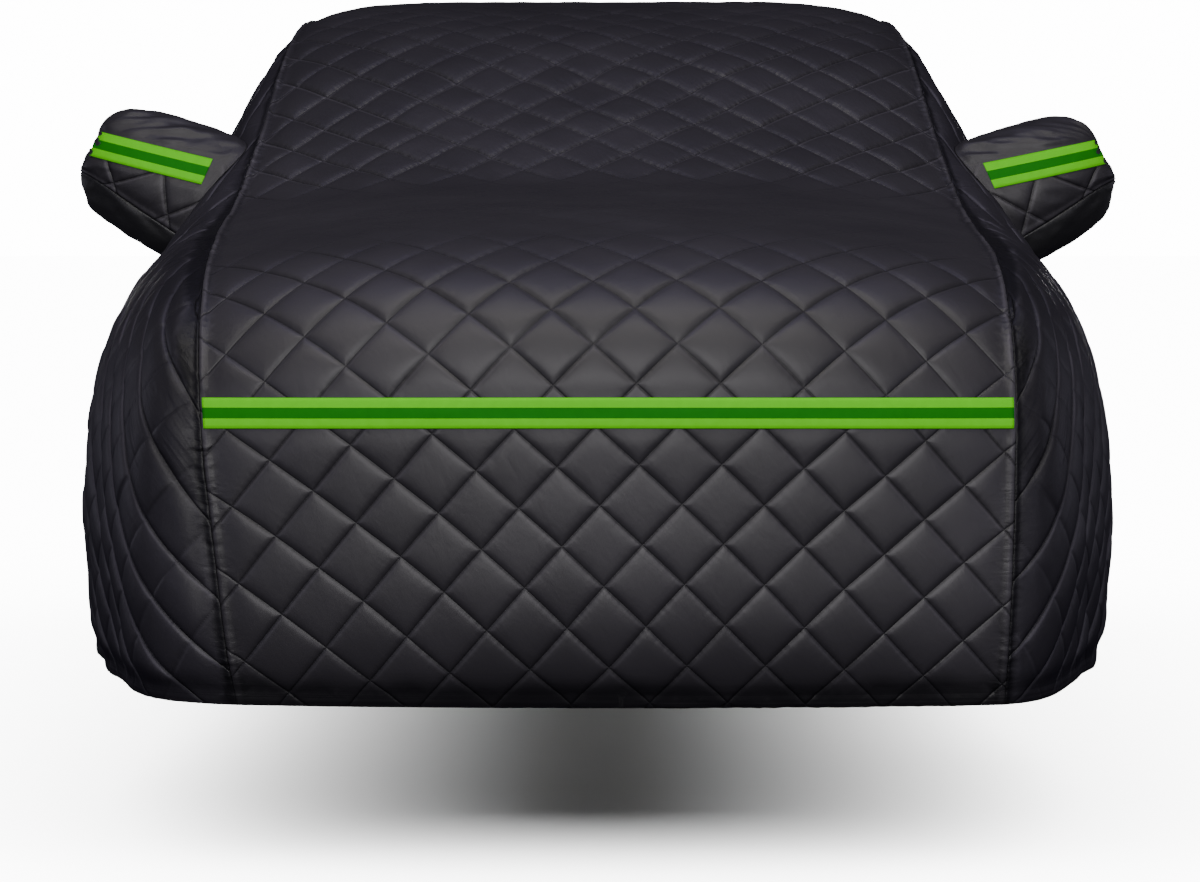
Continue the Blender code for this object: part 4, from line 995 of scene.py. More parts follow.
        # wrinkles drawn along the stitched lines
        loose = smooth(-0.2, 0.5, noise(ab[:, 0] / 0.30, ab[:, 1] / 0.22, 51 + sign))
        h = h + (0.25 + 0.75 * loose) * 0.0016 * noise(pq[:, 0] / 1.3, pq[:, 1] / 0.30, 52 + sign)
        h = h + loose * 0.0008 * noise(pq[:, 0] / 0.7, pq[:, 1] / 0.13, 54 + sign)
        h = h + 0.0016 * noise(ab[:, 0] / 0.17, ab[:, 1] / 0.42, 43 + sign) \
            + 0.0008 * noise(ab[:, 0] / 0.07, ab[:, 1] / 0.15, 47 + sign)
        side_d = np.minimum(np.minimum(nose, tail), high)
        v = np.where(high <= np.minimum(nose, tail), v_on_top(c_of(xy[:, 0])),
                     np.where(nose < tail, NOSE_V(xy[:, 1])[:, 0], TAIL_V(xy[:, 1])[:, 0]))
        along = v + 10 * (sign > 0)
        width = 0.012
        near = smooth(width, width + 0.040, side_d)
        seam_h = seam_profile(side_d, along, 21, 0.0006, width) - 0.0016 * np.exp(-((side_d - 0.007) / 0.006) ** 2)
        h = h * near + seam_h * (1 - smooth(width + 0.004, width + 0.018, side_d))
        near = smooth(0.020, 0.062, low)
        hem_h = hem_profile(low, ab[:, 0], 33 + sign)
        h = h * near + hem_h * (1 - smooth(0.024, 0.034, low))
        # the cloth lies flat under the pocket and is drawn to its seam
        box = (ab[:, 0] > ring[:, 0].min() - 0.07) & (ab[:, 0] < ring[:, 0].max() + 0.07) \
            & (ab[:, 1] > ring[:, 1].min() - 0.07) & (ab[:, 1] < ring[:, 1].max() + 0.07)
        which = np.nonzero(box)[0]
        if len(which):
            at = ab[which]
            d = np.sqrt(((at[:, None, :] - ring[None, :, :]) ** 2).sum(-1)).min(axis=1)
            within = inside(at, ring)
            keep = np.where(within, 0.0, smooth(0.004, 0.050, d))
            h[which] = h[which] * keep - 0.0006 * (1 - keep)
        # painted shade: a dark strip beside the seam, wider higher up, a broad darkening where the panel turns over the
        # corner, and darker near the hem; painted highlight: a thin broken line just beyond the strip
        upper = smooth(0.52, 0.62, v) * (1 - smooth(1.5, 2.2, v))
        strip = 0.014 + 0.024 * upper + 0.005 * noise(along / 0.05, 0.1, 24)
        painted_shade = (0.90 - 0.4 * smooth(0.2, 0.8, noise(along / 0.30, side_d / 0.006, 23))) * (1 - smooth(strip - 0.004, strip + 0.004, side_d))
        turn = smooth(0.22, 0.46, v) * (1 - smooth(1.3, 1.9, v))
        painted_shade = painted_shade + 0.55 * turn * np.exp(-(side_d / 0.200) ** 2)
        painted_shade = painted_shade + 0.45 * (1 - smooth(0.030, 0.064, low))
        light = (0.35 + 0.5 * upper) * np.exp(-((side_d - strip - 0.008) / 0.0032) ** 2) \
            * smooth(-0.2, 0.5, noise(along / 0.08, side_d / 0.012, 29))
        fade = np.stack([np.ones(len(h)), 0.6 + 0 * h], 1)
        return h, np.stack([along, np.minimum(side_d, low)], 1), np.stack([light, np.clip(painted_shade, 0, 1)], 1), fade

    panel.height = height
    return panel


def locate(sign, y, z):
    """Where (y, z) lies on a side panel's smooth face."""
    c = (y - TOP_LOW) / (TOP_HIGH - TOP_LOW)
    w = np.full(np.shape(y), 0.8)
    e = 1e-4
    for _ in range(12):
        p = side(sign, c, w)
        pc = (side(sign, c + e, w) - p) / e
        pw = (side(sign, c, w + e) - p) / e
        ry, rz = y - p[..., 1], z - p[..., 2]
        det = pc[..., 1] * pw[..., 2] - pc[..., 2] * pw[..., 1]
        c = c + (ry * pw[..., 2] - rz * pw[..., 1]) / det
        w = np.clip(w + (rz * pc[..., 1] - ry * pc[..., 2]) / det, 0.3, 0.999)
    return c, w


# ---------------------------------------------------------------------------
# Mirror pockets
# ---------------------------------------------------------------------------
HOOD_CURVE = spline(np.arange(len(POCKET_HOOD)), [row[1:] for row in POCKET_HOOD])
GUSSET_CURVE = spline(np.arange(len(POCKET_GUSSET)), [row[1:] for row in POCKET_GUSSET])


def pocket_root(sign):
    a = HOOD_CURVE(np.linspace(0, len(POCKET_HOOD) - 1, 61))
    b = GUSSET_CURVE(np.linspace(0, len(POCKET_GUSSET) - 1, 31))
    ring = np.concatenate([a[:-1], b[:-1]])
    return ring[:, 0], ring[:, 1] - 0.5 * POCKET_DROOP[sign]


def pocket_point(sign, hood, k, s):
    """Outer face of a pocket: k round it in table rows, s from root to tip."""
    droop = POCKET_DROOP[sign]
    curve = HOOD_CURVE if hood else GUSSET_CURVE
    root_y, root_z, end_y, end_z = np.moveaxis(curve(k), -1, 0)
    root_z = root_z - 0.5 * droop
    end_z = end_z - droop
    c, w = locate(sign, root_y[:, 0], root_z[:, 0])
    root_x = np.abs(side(sign, c, w)[:, 0])[:, None] * np.ones_like(root_y)
    last = (len(POCKET_HOOD) if hood else len(POCKET_GUSSET)) - 1
    up = 1.0 - np.abs(k - 0.5 * last) / (0.5 * last)
    # a round sweep of the tip line in place of its two straight halves
    tip_z = POCKET_TIP["seam_z"] + (POCKET_TIP["top_z" if hood else "foot_z"] - POCKET_TIP["seam_z"]) * up - droop
    closing = 1.0 - (1.0 - s ** POCKET_TIP_POWER) ** (1.0 / POCKET_TIP_POWER)
    y = root_y + (end_y - root_y) * s
    z = root_z + (end_z - root_z) * s
    y = y + (POCKET_TIP["y"] - y) * closing
    z = z + (tip_z - z) * closing
    # the outer corners slope in at the top and a little at the foot
    end_x = POCKET_END_X - (0.046 if hood else 0.012) * up ** 1.2
    x = root_x + (end_x - root_x) * s
    return np.stack([sign * x, y, z], axis=-1)


def pocket_grid(sign, hood, nk, ns):
    last = (len(POCKET_HOOD) if hood else len(POCKET_GUSSET)) - 1
    # even steps round the root
    fine = np.linspace(0, last, 401)
    curve = (HOOD_CURVE if hood else GUSSET_CURVE)(fine)
    run = np.concatenate([[0], np.cumsum(np.hypot(np.diff(curve[:, 0] + curve[:, 2]), np.diff(curve[:, 1] + curve[:, 3])))])
    k = np.interp(np.linspace(0, run[-1], nk), run, fine)
    # even steps out to the tip, over its round end
    s = np.concatenate([np.linspace(0, 0.70, 300, endpoint=False), np.sin(np.linspace(0.6222, math.pi / 2, 700)) ** (2 / 3)])
    s = np.unique(np.clip(s, 0, 1))
    closing = 1.0 - (1.0 - s ** POCKET_TIP_POWER) ** (1.0 / POCKET_TIP_POWER)
    run = np.concatenate([[0], np.cumsum(np.hypot(np.diff(0.235 * s), np.diff(0.062 * closing)))])
    s = np.interp(np.linspace(0, run[-1], ns), run, s)
    s[0], s[-1] = 0.0, 1.0
    grid_k, grid_s = np.meshgrid(k, s, indexing="ij")
    return k, s, pocket_point(sign, hood, grid_k, grid_s)


def grid_normals(p, sign):
    dk = np.gradient(p, axis=0)
    ds = np.gradient(p, axis=1)
    n = unit(np.cross(ds, dk)) * sign
    n[:, -1] = unit(n[:, -2] + np.array([sign * 2.0, 0, 0]))
    return n


def sheet_grid(name, outer, inner, uvs, flip, material):
    """Closed piece between two matching grids."""
    rows, cols = outer.shape[:2]
    number = np.arange(rows * cols).reshape(rows, cols)
    quads = np.stack([number[:-1, :-1], number[1:, :-1], number[1:, 1:], number[:-1, 1:]], -1).reshape(-1, 4)
    count = rows * cols
    loop = np.concatenate([number[:-1, 0], number[-1, :-1], number[1:, -1][::-1], number[0, 1:][::-1]])
    nxt = np.roll(loop, -1)
    rim = np.stack([nxt, loop, loop + count, nxt + count], 1)
    faces = [quads, quads[:, ::-1] + count, rim]
    if flip:
        faces = [f[:, ::-1] for f in faces]
    both = {k: np.concatenate([v.reshape(-1, 2), v.reshape(-1, 2)]) for k, v in uvs.items()}
    return new_mesh(name, np.concatenate([outer.reshape(-1, 3), inner.reshape(-1, 3)]), faces, both, material)


def make_pocket(word, sign, quilted, plain):
    made = []
    for hood in (True, False):
        nk, ns = (150, 100) if hood else (70, 100)
        k, s, p = pocket_grid(sign, hood, nk, ns)
        normal = grid_normals(p, sign)
        along_s = np.zeros(p.shape[:2])
        along_s[:, 1:] = np.cumsum(np.linalg.norm(np.diff(p, axis=1), axis=-1), axis=1)
        mid = ns // 2
        round_k = np.concatenate([[0], np.cumsum(np.linalg.norm(np.diff(p[:, mid], axis=0), axis=-1))])
        round_k = np.tile(round_k[:, None], (1, ns))
        a, b = along_s, round_k
        d_seam = np.minimum(round_k, round_k[-1:] - round_k)
        d_root = along_s
        if hood:
            lean, a0, b0 = POCKET_QUILT[sign]
            quilt = Quilt(lean, a0, b0, 95 + sign, 0.7)
            pp, qq = quilt.count(a, b)
            # below the tape the lattice shows, above it the cloth is only wrinkled
            off = pocket_tape_offset(sign, p)
            shown = (1 - 0.9 * smooth(0.000, 0.030, off)) * (p[..., 1] < 1.76)
            h = quilt.height(pp, qq) * 0.80 * shown + 0.004 * (1 - shown)
            c = b + 0.30 * a
            h = h + (1 - shown) * (0.0042 * noise(a / 0.11, c / 0.019, 81 + sign) + 0.0026 * noise(a / 0.045, c / 0.010, 83 + sign))
            h = h + 0.0012 * noise(a / 0.035, c / 0.022, 85 + sign)
            h = h + 0.0012 * noise(a / 0.09, b / 0.05, 71 + sign) + 0.0007 * noise(a / 0.030, b / 0.025, 73 + sign)
            d_tip = along_s[:, -1:] - along_s
            h = h * smooth(0.004, 0.030, d_seam) * smooth(0.0, 0.022, d_root)
            h = h + 0.0018 * np.exp(-((d_seam - 0.006) / 0.0035) ** 2) - 0.0008 * np.exp(-(d_seam / 0.002) ** 2)
            h = h + gathers(a + 0.2 * sign, d_seam, 75 + sign, 0.019, 0.0010, 0.020)
            # under the tape
            under = 1 - smooth(0.5 * TAPE_WIDTH + 0.002, 0.5 * TAPE_WIDTH + 0.014, np.abs(off))
            under = under * (p[..., 1] < 1.72)
            h = h * (1 - under) + under * np.clip(0.25 * h, -0.001, 0.0008)
        else:
            pp, qq = a / LINE, b / LINE
            shown = np.zeros_like(a)
            h = 0.0030 * noise(a / 0.075, (b - 0.4 * a) / 0.040, 77 + sign) + 0.0014 * noise(a / 0.025, b / 0.022, 79 + sign)
            h = h * smooth(0.0, 0.02, d_root) - 0.0004
            h = h * smooth(0.0, 0.012, d_seam) - 0.0010 * np.exp(-(d_seam / 0.003) ** 2)
            h = h + gathers(a + 0.1 * sign, d_seam, 91 + sign, 0.017, 0.0009, 0.016)
        h = h + 0.0006 * np.exp(-(d_root / 0.004) ** 2)
        outer = p + normal * h[..., None]
        inner = p - normal * CLOTH
        inner[:, 0] = outer[:, 0] + unit(inner[:, 1] - outer[:, 0]) * CLOTH
        # painted highlight along the hood's seam ridge and painted shade down in the seams
        uvs = {"flat": np.stack([a, b], -1), "lattice": np.stack([pp, qq], -1),
               "edge": np.stack([a, np.minimum(d_seam, d_root)], -1),
               "painted_light_and_shade": np.stack([0.6 * np.exp(-((d_seam - 0.006) / 0.0035) ** 2) * hood,
                                 0.8 * np.exp(-(d_seam / 0.0025) ** 2)], -1),
               "fade": np.stack([shown, 0.55 + 0 * a], -1)}
        name = ("pocket_hood_" if hood else "pocket_gusset_") + word
        made.append(sheet_grid(name, outer, inner, uvs, sign > 0, quilted if hood else plain))
    return made


# ---------------------------------------------------------------------------
# Tapes
# ---------------------------------------------------------------------------
def front_tape_z(t):
    return 0.7385 - 0.007 * np.abs(t) ** 2.2


def pocket_tape_line(sign, s, edge):
    """Point (x, z) on the pocket's face: s along the tape, edge from -0.5 to 0.5."""
    rows = np.array([row[1:] for row in POCKET_TAPE])
    inner_x = np.interp(edge, rows[:, 0], rows[:, 1])
    inner_z = np.interp(edge, rows[:, 0], rows[:, 2])
    outer_x = np.interp(edge, rows[:, 0], rows[:, 3])
    outer_z = np.interp(edge, rows[:, 0], rows[:, 4])
    x = inner_x + (outer_x - inner_x) * s
    z = inner_z + (outer_z - inner_z) * s + edge * TAPE_WIDTH - POCKET_DROOP[sign] * (0.5 + 0.5 * s)
    return sign * x, z


def pocket_tape_offset(sign, p):
    x0, z0 = pocket_tape_line(sign, 0.0, 0.0)
    x1, z1 = pocket_tape_line(sign, 1.0, 0.0)
    d = np.array([x1 - x0, z1 - z0])
    d = d / np.linalg.norm(d)
    return (p[..., 2] - z0) * d[0] * np.sign(d[0]) - (p[..., 0] - x0) * d[1] * np.sign(d[0])


def make_front_tape(material, panel):
    nt, nw = 281, 9
    edge = np.linspace(-0.5, 0.5, nw)
    t = np.linspace(-0.992, 0.992, nt)
    grid_t, grid_e = np.meshgrid(t, edge, indexing="ij")
    z = front_tape_z(grid_t) + grid_e * TAPE_WIDTH
    v_line = np.linspace(0, V_FRONT, 1200)
    v = np.zeros_like(grid_t)
    for i in range(nt):
        v[i] = np.interp(z[i], centre(np.full(1200, t[i]), v_line)[:, 2], v_line)
    p = centre(grid_t, v)
    normal = centre_normal(grid_t, v)
    x = p[..., 0]
    h = 0.0028 + 0.0005 * noise(x / 0.09, grid_e * 1.5, 101) + 0.0003 * noise(x / 0.035, grid_e * 3, 102)
    h = h - 0.0007 * (np.abs(grid_e) * 2) ** 6
    outer = p + normal * h[..., None]
    inner = outer - normal * TAPE
    uvs = {"flat": np.stack([x, grid_e * TAPE_WIDTH], -1), "lattice": np.stack([x / 0.05, grid_e + 0.5], -1)}
    return sheet_grid("tape_front", outer, inner, uvs, False, material)


def make_pocket_tape(word, sign, material):
    nt, nw = 90, 9
    edge = np.linspace(-0.5, 0.5, nw)
    s = np.linspace(0, 1, nt)
    grid_s, grid_e = np.meshgrid(s, edge, indexing="ij")
    x, z = pocket_tape_line(sign, grid_s, grid_e)
    # the front of the hood, from its own grid
    k = np.linspace(0, 5, 240)
    ss = np.linspace(0, 0.999, 240)
    grid_k, grid_ss = np.meshgrid(k, ss, indexing="ij")
    p = pocket_point(sign, True, grid_k, grid_ss)
    normal = grid_normals(p, sign)
    shape = x.shape
    flat_p = p.reshape(-1, 3)
    y = np.zeros(x.size)
    nn = np.zeros((x.size, 3))
    for i, (px, pz) in enumerate(zip(x.reshape(-1), z.reshape(-1))):
        d = (flat_p[:, 0] - px) ** 2 + (flat_p[:, 2] - pz) ** 2
        best = np.argpartition(d, 6)[:6]
        weight = 1 / (d[best] + 1e-8)
        weight = weight / weight.sum()
        y[i] = (flat_p[best, 1] * weight).sum()
        nn[i] = (normal.reshape(-1, 3)[best] * weight[:, None]).sum(axis=0)
    y, nn = y.reshape(shape), unit(nn.reshape(shape + (3,)))
    for _ in range(3):
        y[1:-1] = 0.25 * y[:-2] + 0.5 * y[1:-1] + 0.25 * y[2:]
    base = np.stack([x, y, z], -1)
    h = 0.0030 + 0.0004 * noise(x / 0.05, grid_e * 1.5, 103) - 0.0006 * (np.abs(grid_e) * 2) ** 6
    outer = base + nn * h[..., None]
    inner = outer - nn * TAPE
    uvs = {"flat": np.stack([np.abs(x), grid_e * TAPE_WIDTH], -1), "lattice": np.stack([np.abs(x) / 0.05, grid_e + 0.5], -1)}
    return sheet_grid("tape_pocket_" + word, outer, inner, uvs, sign < 0, material)


# ---------------------------------------------------------------------------
# Where the lattice lies on each piece
# ---------------------------------------------------------------------------
SEAM_WIDTH = 0.0180
BONNET_V = float(KNOTS[STATION_NAMES.index("bonnet middle")])
ROW_V = 0.475
CENTRE_LEAN = math.radians(1.4)
CENTRE_A0, CENTRE_B0 = 0.004, 0.006
# How the cloth over nose and bonnet is drawn off a straight lattice: one row for
# each term u^i * w^j, u across and w along the cover, in metres.
DRIFT_COLUMNS = ("u_power", "w_power", "across", "along")
DRIFT = (
    (0, 0, 0.0008, -0.0035), (0, 1, -0.0382, 0.9901), (0, 2, 0.0367, 0.1556), (0, 3, 0.0382, 0.4387),
    (1, 0, 0.9989, 0.0193), (1, 1, 0.1153, 0.0247), (1, 2, 0.0573, 0.0695), (2, 0, -0.0048, 0.0436),
    (2, 1, 0.0360, -0.0859), (3, 0, 0.0508, 0.0076),
)
GLASS_DRIFT = (0.0294, -0.0320)    # from the cowl up, across and along
SIDE_QUILT = {-1: (math.radians(0.0), -0.045), 1: (math.radians(0.0), -0.060)}
SIDE_WEAK = 0.75


def centre_drift(u, w):
    uc, wc = np.clip(u, -0.66, 0.66), np.clip(w, -0.46, 0.62)
    a = sum(row[2] * uc ** row[0] * wc ** row[1] for row in DRIFT)
    b = sum(row[3] * uc ** row[0] * wc ** row[1] for row in DRIFT)
    c, n = math.cos(CENTRE_LEAN), math.sin(CENTRE_LEAN)
    fade = 1 - smooth(0.62, 1.05, w)
    up = smooth(0.75, 1.35, w)
    da = (a - (CENTRE_A0 + uc * c - wc * n)) * fade + GLASS_DRIFT[0] * up
    db = (b - (CENTRE_B0 + uc * n + wc * c)) * fade + GLASS_DRIFT[1] * up
    return da, db, 1.0 + 1.8 * up


def side_drift(u, w):
    return 0.0 * u, 0.0 * u, 1.0 + 0.0 * u


POCKET_QUILT = {-1: (math.radians(0.0), 0.038, 0.02), 1: (math.radians(-6.0), 0.04, 0.03)}


# ---------------------------------------------------------------------------
# Materials
# ---------------------------------------------------------------------------
class Nodes:
    def __init__(self, name):
        self.material = bpy.data.materials.new(name)
        self.material.use_nodes = True
        self.tree = self.material.node_tree
        self.shader = self.tree.nodes["Principled BSDF"]

    def add(self, kind, **values):
        node = self.tree.nodes.new(kind)
        for key, value in values.items():
            setattr(node, key, value)
        return node

    def link(self, out, into):
        self.tree.links.new(out, into)

    def put(self, socket, value):
        if isinstance(value, (int, float)):
            socket.default_value = value
        else:
            self.link(value, socket)

    def math(self, operation, *values, clamp=False):
        node = self.add("ShaderNodeMath", operation=operation, use_clamp=clamp)
        for i, value in enumerate(values):
            self.put(node.inputs[i], value)
        return node.outputs[0]

    def uv(self, name):
        node = self.add("ShaderNodeUVMap", uv_map=name)
        split = self.add("ShaderNodeSeparateXYZ")
        self.link(node.outputs[0], split.inputs[0])
        return split.outputs[0], split.outputs[1]

    def vector(self, x, y, z=0.0):
        node = self.add("ShaderNodeCombineXYZ")
        for i, value in enumerate((x, y, z)):
            self.put(node.inputs[i], value)
        return node.outputs[0]

    def noise(self, vector, scale, detail=2.0, rough=0.5, distortion=0.0):
        node = self.add("ShaderNodeTexNoise")
        self.link(vector, node.inputs["Vector"])
        node.inputs["Scale"].default_value = scale
        node.inputs["Detail"].default_value = detail
        node.inputs["Roughness"].default_value = rough
        node.inputs["Distortion"].default_value = distortion
        return node.outputs[0]

    def colours(self, factor, stops):
        node = self.add("ShaderNodeValToRGB")
        ramp = node.color_ramp
        while len(ramp.elements) < len(stops):
            ramp.elements.new(0.5)
        for element, (at, colour) in zip(ramp.elements, stops):
            element.position = at
            element.color = (*colour, 1.0)
        self.put(node.inputs[0], factor)
        return node.outputs[0]

    def bump(self, height, distance, strength=1.0):
        node = self.add("ShaderNodeBump")
        node.inputs["Strength"].default_value = strength
        node.inputs["Distance"].default_value = distance
        self.link(height, node.inputs["Height"])
        return node

    def fall(self, distance, reach):
        """exp(-(distance / reach))"""
        return self.math("POWER", 2.71828, self.math("MULTIPLY", distance, -1.0 / reach))


CENTRE_LOOK = {"light": (0.0190, 0.0176, 0.0210), "rough": 0.50, "shine": 0.30, "strands": 0.0, "rims": 0.66}
# the side panels' copy of the same cloth: a little darker and less shiny as painted shade, with stronger painted rim
# highlights
SIDE_LOOK = {"light": (0.0178, 0.0164, 0.0208), "rough": 0.50, "shine": 0.22, "strands": 1.0, "rims": 1.1}


def quilted_material(name, look, weak=0.0):
    """weak is how much less the first family of stitched lines shows."""
    n = Nodes(name)
    light, painted_shade = n.uv("painted_light_and_shade")
    show, slack = n.uv("fade")
    a, b = n.uv("flat")
    p, q = n.uv("lattice")
    along, depth = n.uv("edge")
    # distance in metres to the nearest stitched line of each direction
    dist = []
    for x in (p, q):
        f = n.math("FRACT", x)
        dist.append(n.math("MULTIPLY", n.math("MINIMUM", f, n.math("SUBTRACT", 1.0, f)), LINE))
    nearest = n.math("MINIMUM", n.math("ADD", dist[0], 0.0040 * weak), dist[1])
    # painted highlight on the upper rim of each diamond, just below its two upper lines, where the pillow's edge faces
    # the light
    rims = None
    for x, from_top, share in ((p, 1.0, 1.0 - weak), (q, 0.0, 1.0)):
        f = n.math("FRACT", x)
        gap = n.math("MULTIPLY", n.math("ABSOLUTE", n.math("SUBTRACT", f, from_top)), LINE)
        rim = n.fall(n.math("POWER", n.math("DIVIDE", n.math("SUBTRACT", gap, 0.0046), 0.0026), 2.0), 1.0)
        rim = n.math("MULTIPLY", rim, share)
        rims = rim if rims is None else n.math("MAXIMUM", rims, rim)
    # puckers run across each stitched line and die away from it
    pucker = None
    for (own, other, d) in ((p, q, dist[0]), (q, p, dist[1])):
        run = n.math("MULTIPLY", other, LINE / 0.0125)
        cross = n.math("MULTIPLY", own, LINE / 0.055)
        wave = n.noise(n.vector(run, cross, 3.0 if own is p else 7.0), 1.0, 1.0, 0.45)
        wave = n.math("MULTIPLY", n.math("SUBTRACT", wave, 0.5), n.fall(d, 0.0085))
        if own is p:
            wave = n.math("MULTIPLY", wave, 1.0 - weak)
        pucker = wave if pucker is None else n.math("ADD", pucker, wave)
    # near seams and hems the puckers run straight in from the edge
    run = n.math("MULTIPLY", along, 1 / 0.0125)
    wave = n.noise(n.vector(run, n.math("MULTIPLY", depth, 1 / 0.035), 1.0), 1.0, 3.0, 0.6, 0.5)
    here = n.noise(n.vector(n.math("MULTIPLY", along, 9.0), 0.0, 2.0), 1.0, 1.0)
    here = n.math("MULTIPLY", n.math("SUBTRACT", here, 0.36, clamp=True), 4.0)
    edge = n.math("MULTIPLY", n.math("MULTIPLY", n.math("SUBTRACT", wave, 0.5), n.fall(depth, 0.026)), here)
    # creases of the cloth between the stitches
    flat = n.vector(n.math("ADD", a, n.math("MULTIPLY", b, 0.35)), n.math("MULTIPLY", b, 0.55))
    crease = n.noise(flat, 34.0, 3.0, 0.55, 0.6)
    fine = n.noise(flat, 150.0, 2.0, 0.5)
    # groove and thread of the stitches
    groove = n.fall(n.math("POWER", n.math("DIVIDE", nearest, 0.0017), 2.0), 1.0)
    thread = None
    for (own, other, d) in ((p, q, dist[0]), (q, p, dist[1])):
        dash = n.math("SINE", n.math("MULTIPLY", other, 2 * math.pi * LINE / 0.0046))
        dash = n.math("MULTIPLY", n.math("ADD", n.math("MULTIPLY", dash, 0.5), 0.5),
                      n.fall(n.math("POWER", n.math("DIVIDE", d, 0.00070), 2.0), 1.0))
        thread = dash if thread is None else n.math("MAXIMUM", thread, dash)
    weave_a = n.math("SINE", n.math("MULTIPLY", a, 2 * math.pi / 0.00060))
    weave_b = n.math("SINE", n.math("MULTIPLY", b, 2 * math.pi / 0.00060))
    weave = n.math("MULTIPLY", weave_a, weave_b)
    # long wrinkles beside the stitched lines
    strand = n.noise(n.vector(n.math("MULTIPLY", p, 0.9), n.math("MULTIPLY", q, 5.0), 4.0), 1.0, 2.0, 0.5, 0.5)
    rise = n.math("SUBTRACT", 1.0, n.fall(nearest, 0.0038))
    height = n.math("MULTIPLY", pucker, n.math("ADD", 0.0012, n.math("MULTIPLY", slack, 0.0020)))
    height = n.math("ADD", height, n.math("MULTIPLY", rise, 0.0013))
    height = n.math("MULTIPLY", height, show)
    patch = n.math("SUBTRACT", n.noise(n.vector(a, b, 8.0), 3.6, 2.0), 0.46, clamp=True)
    height = n.math("ADD", height, n.math("MULTIPLY", n.math("MULTIPLY", strand, patch), 0.016 * look["strands"]))
    height = n.math("ADD", height, n.math("MULTIPLY", edge, 0.0034))
    height = n.math("ADD", height, n.math("MULTIPLY", crease, n.math("ADD", 0.0005, n.math("MULTIPLY", slack, 0.0010))))
    height = n.math("ADD", height, n.math("MULTIPLY", fine, 0.00012))
    height = n.math("ADD", height, n.math("MULTIPLY", n.math("MULTIPLY", groove, show), -0.0008))
    height = n.math("ADD", height, n.math("MULTIPLY", thread, 0.00018))
    height = n.math("ADD", height, n.math("MULTIPLY", weave, 0.000018))
    bump = n.bump(height, 1.0, 0.9)
    n.link(bump.outputs[0], n.shader.inputs["Normal"])
    # colour: black with a faint violet cast, with painted shade down in the stitch grooves
    tone = n.noise(n.vector(a, b), 2.3, 3.0, 0.5)
    deep = n.math("MULTIPLY", n.math("MULTIPLY", n.fall(nearest, 0.0026), show),
                  n.math("SUBTRACT", 0.70, n.math("MULTIPLY", slack, 0.32)))
    shade = n.math("MULTIPLY", n.math("SUBTRACT", 1.0, deep), n.math("ADD", 0.35, n.math("MULTIPLY", tone, 0.5)))
    # painted highlight on the diamonds' upper rims, broken up by noise
    painted_rim_highlight = n.math("MULTIPLY", n.noise(n.vector(a, b, 5.0), 7.0, 2.0), n.math("MULTIPLY", rims, show))
    shade = n.math("ADD", shade, n.math("MULTIPLY", painted_rim_highlight, n.math("MULTIPLY", n.math("ADD", slack, 0.30), look["rims"])))
    # painted shade and painted highlight carried in from the seams, hems and pocket seams
    shade = n.math("MULTIPLY", shade, n.math("SUBTRACT", 1.0, n.math("MULTIPLY", painted_shade, 0.9)))
    shade = n.math("ADD", shade, n.math("MULTIPLY", light, 0.40))
    colour = n.colours(shade, ((0.0, (0.0022, 0.0021, 0.0028)), (0.60, look["light"]),
                               (1.0, tuple(2.1 * x for x in look["light"]))))
    n.link(colour, n.shader.inputs["Base Color"])
    rough = n.math("ADD", look["rough"] - 0.06, n.math("MULTIPLY", n.noise(n.vector(a, b), 9.0, 2.0), 0.12))
    n.link(rough, n.shader.inputs["Roughness"])
    n.shader.inputs["Specular IOR Level"].default_value = look["shine"]
    return n.material


def plain_material(name):
    n = Nodes(name)
    a, b = n.uv("flat")
    along, depth = n.uv("edge")
    crease = n.noise(n.vector(n.math("MULTIPLY", a, 0.6), b), 30.0, 3.0, 0.55, 0.5)
    run = n.noise(n.vector(n.math("MULTIPLY", along, 1 / 0.011), n.math("MULTIPLY", depth, 1 / 0.04)), 1.0, 2.0)
    edge = n.math("MULTIPLY", run, n.fall(depth, 0.016))
    weave = n.math("MULTIPLY", n.math("SINE", n.math("MULTIPLY", a, 2 * math.pi / 0.0006)),
                   n.math("SINE", n.math("MULTIPLY", b, 2 * math.pi / 0.0006)))
    height = n.math("ADD", n.math("MULTIPLY", crease, 0.0014), n.math("MULTIPLY", edge, 0.0024))
    height = n.math("ADD", height, n.math("MULTIPLY", weave, 0.00002))
    n.link(n.bump(height, 1.0, 0.9).outputs[0], n.shader.inputs["Normal"])
    tone = n.noise(n.vector(a, b), 11.0, 2.0)
    n.link(n.colours(tone, ((0.3, (0.0045, 0.0045, 0.0052)), (0.8, (0.0080, 0.0078, 0.0090)))),
           n.shader.inputs["Base Color"])
    n.shader.inputs["Roughness"].default_value = 0.52
    n.shader.inputs["Sheen Weight"].default_value = 0.02
    n.shader.inputs["Sheen Roughness"].default_value = 0.5
    return n.material


BRIGHT, DARK = (0.062, 0.350, 0.0002), (0.0010, 0.094, 0.0001)


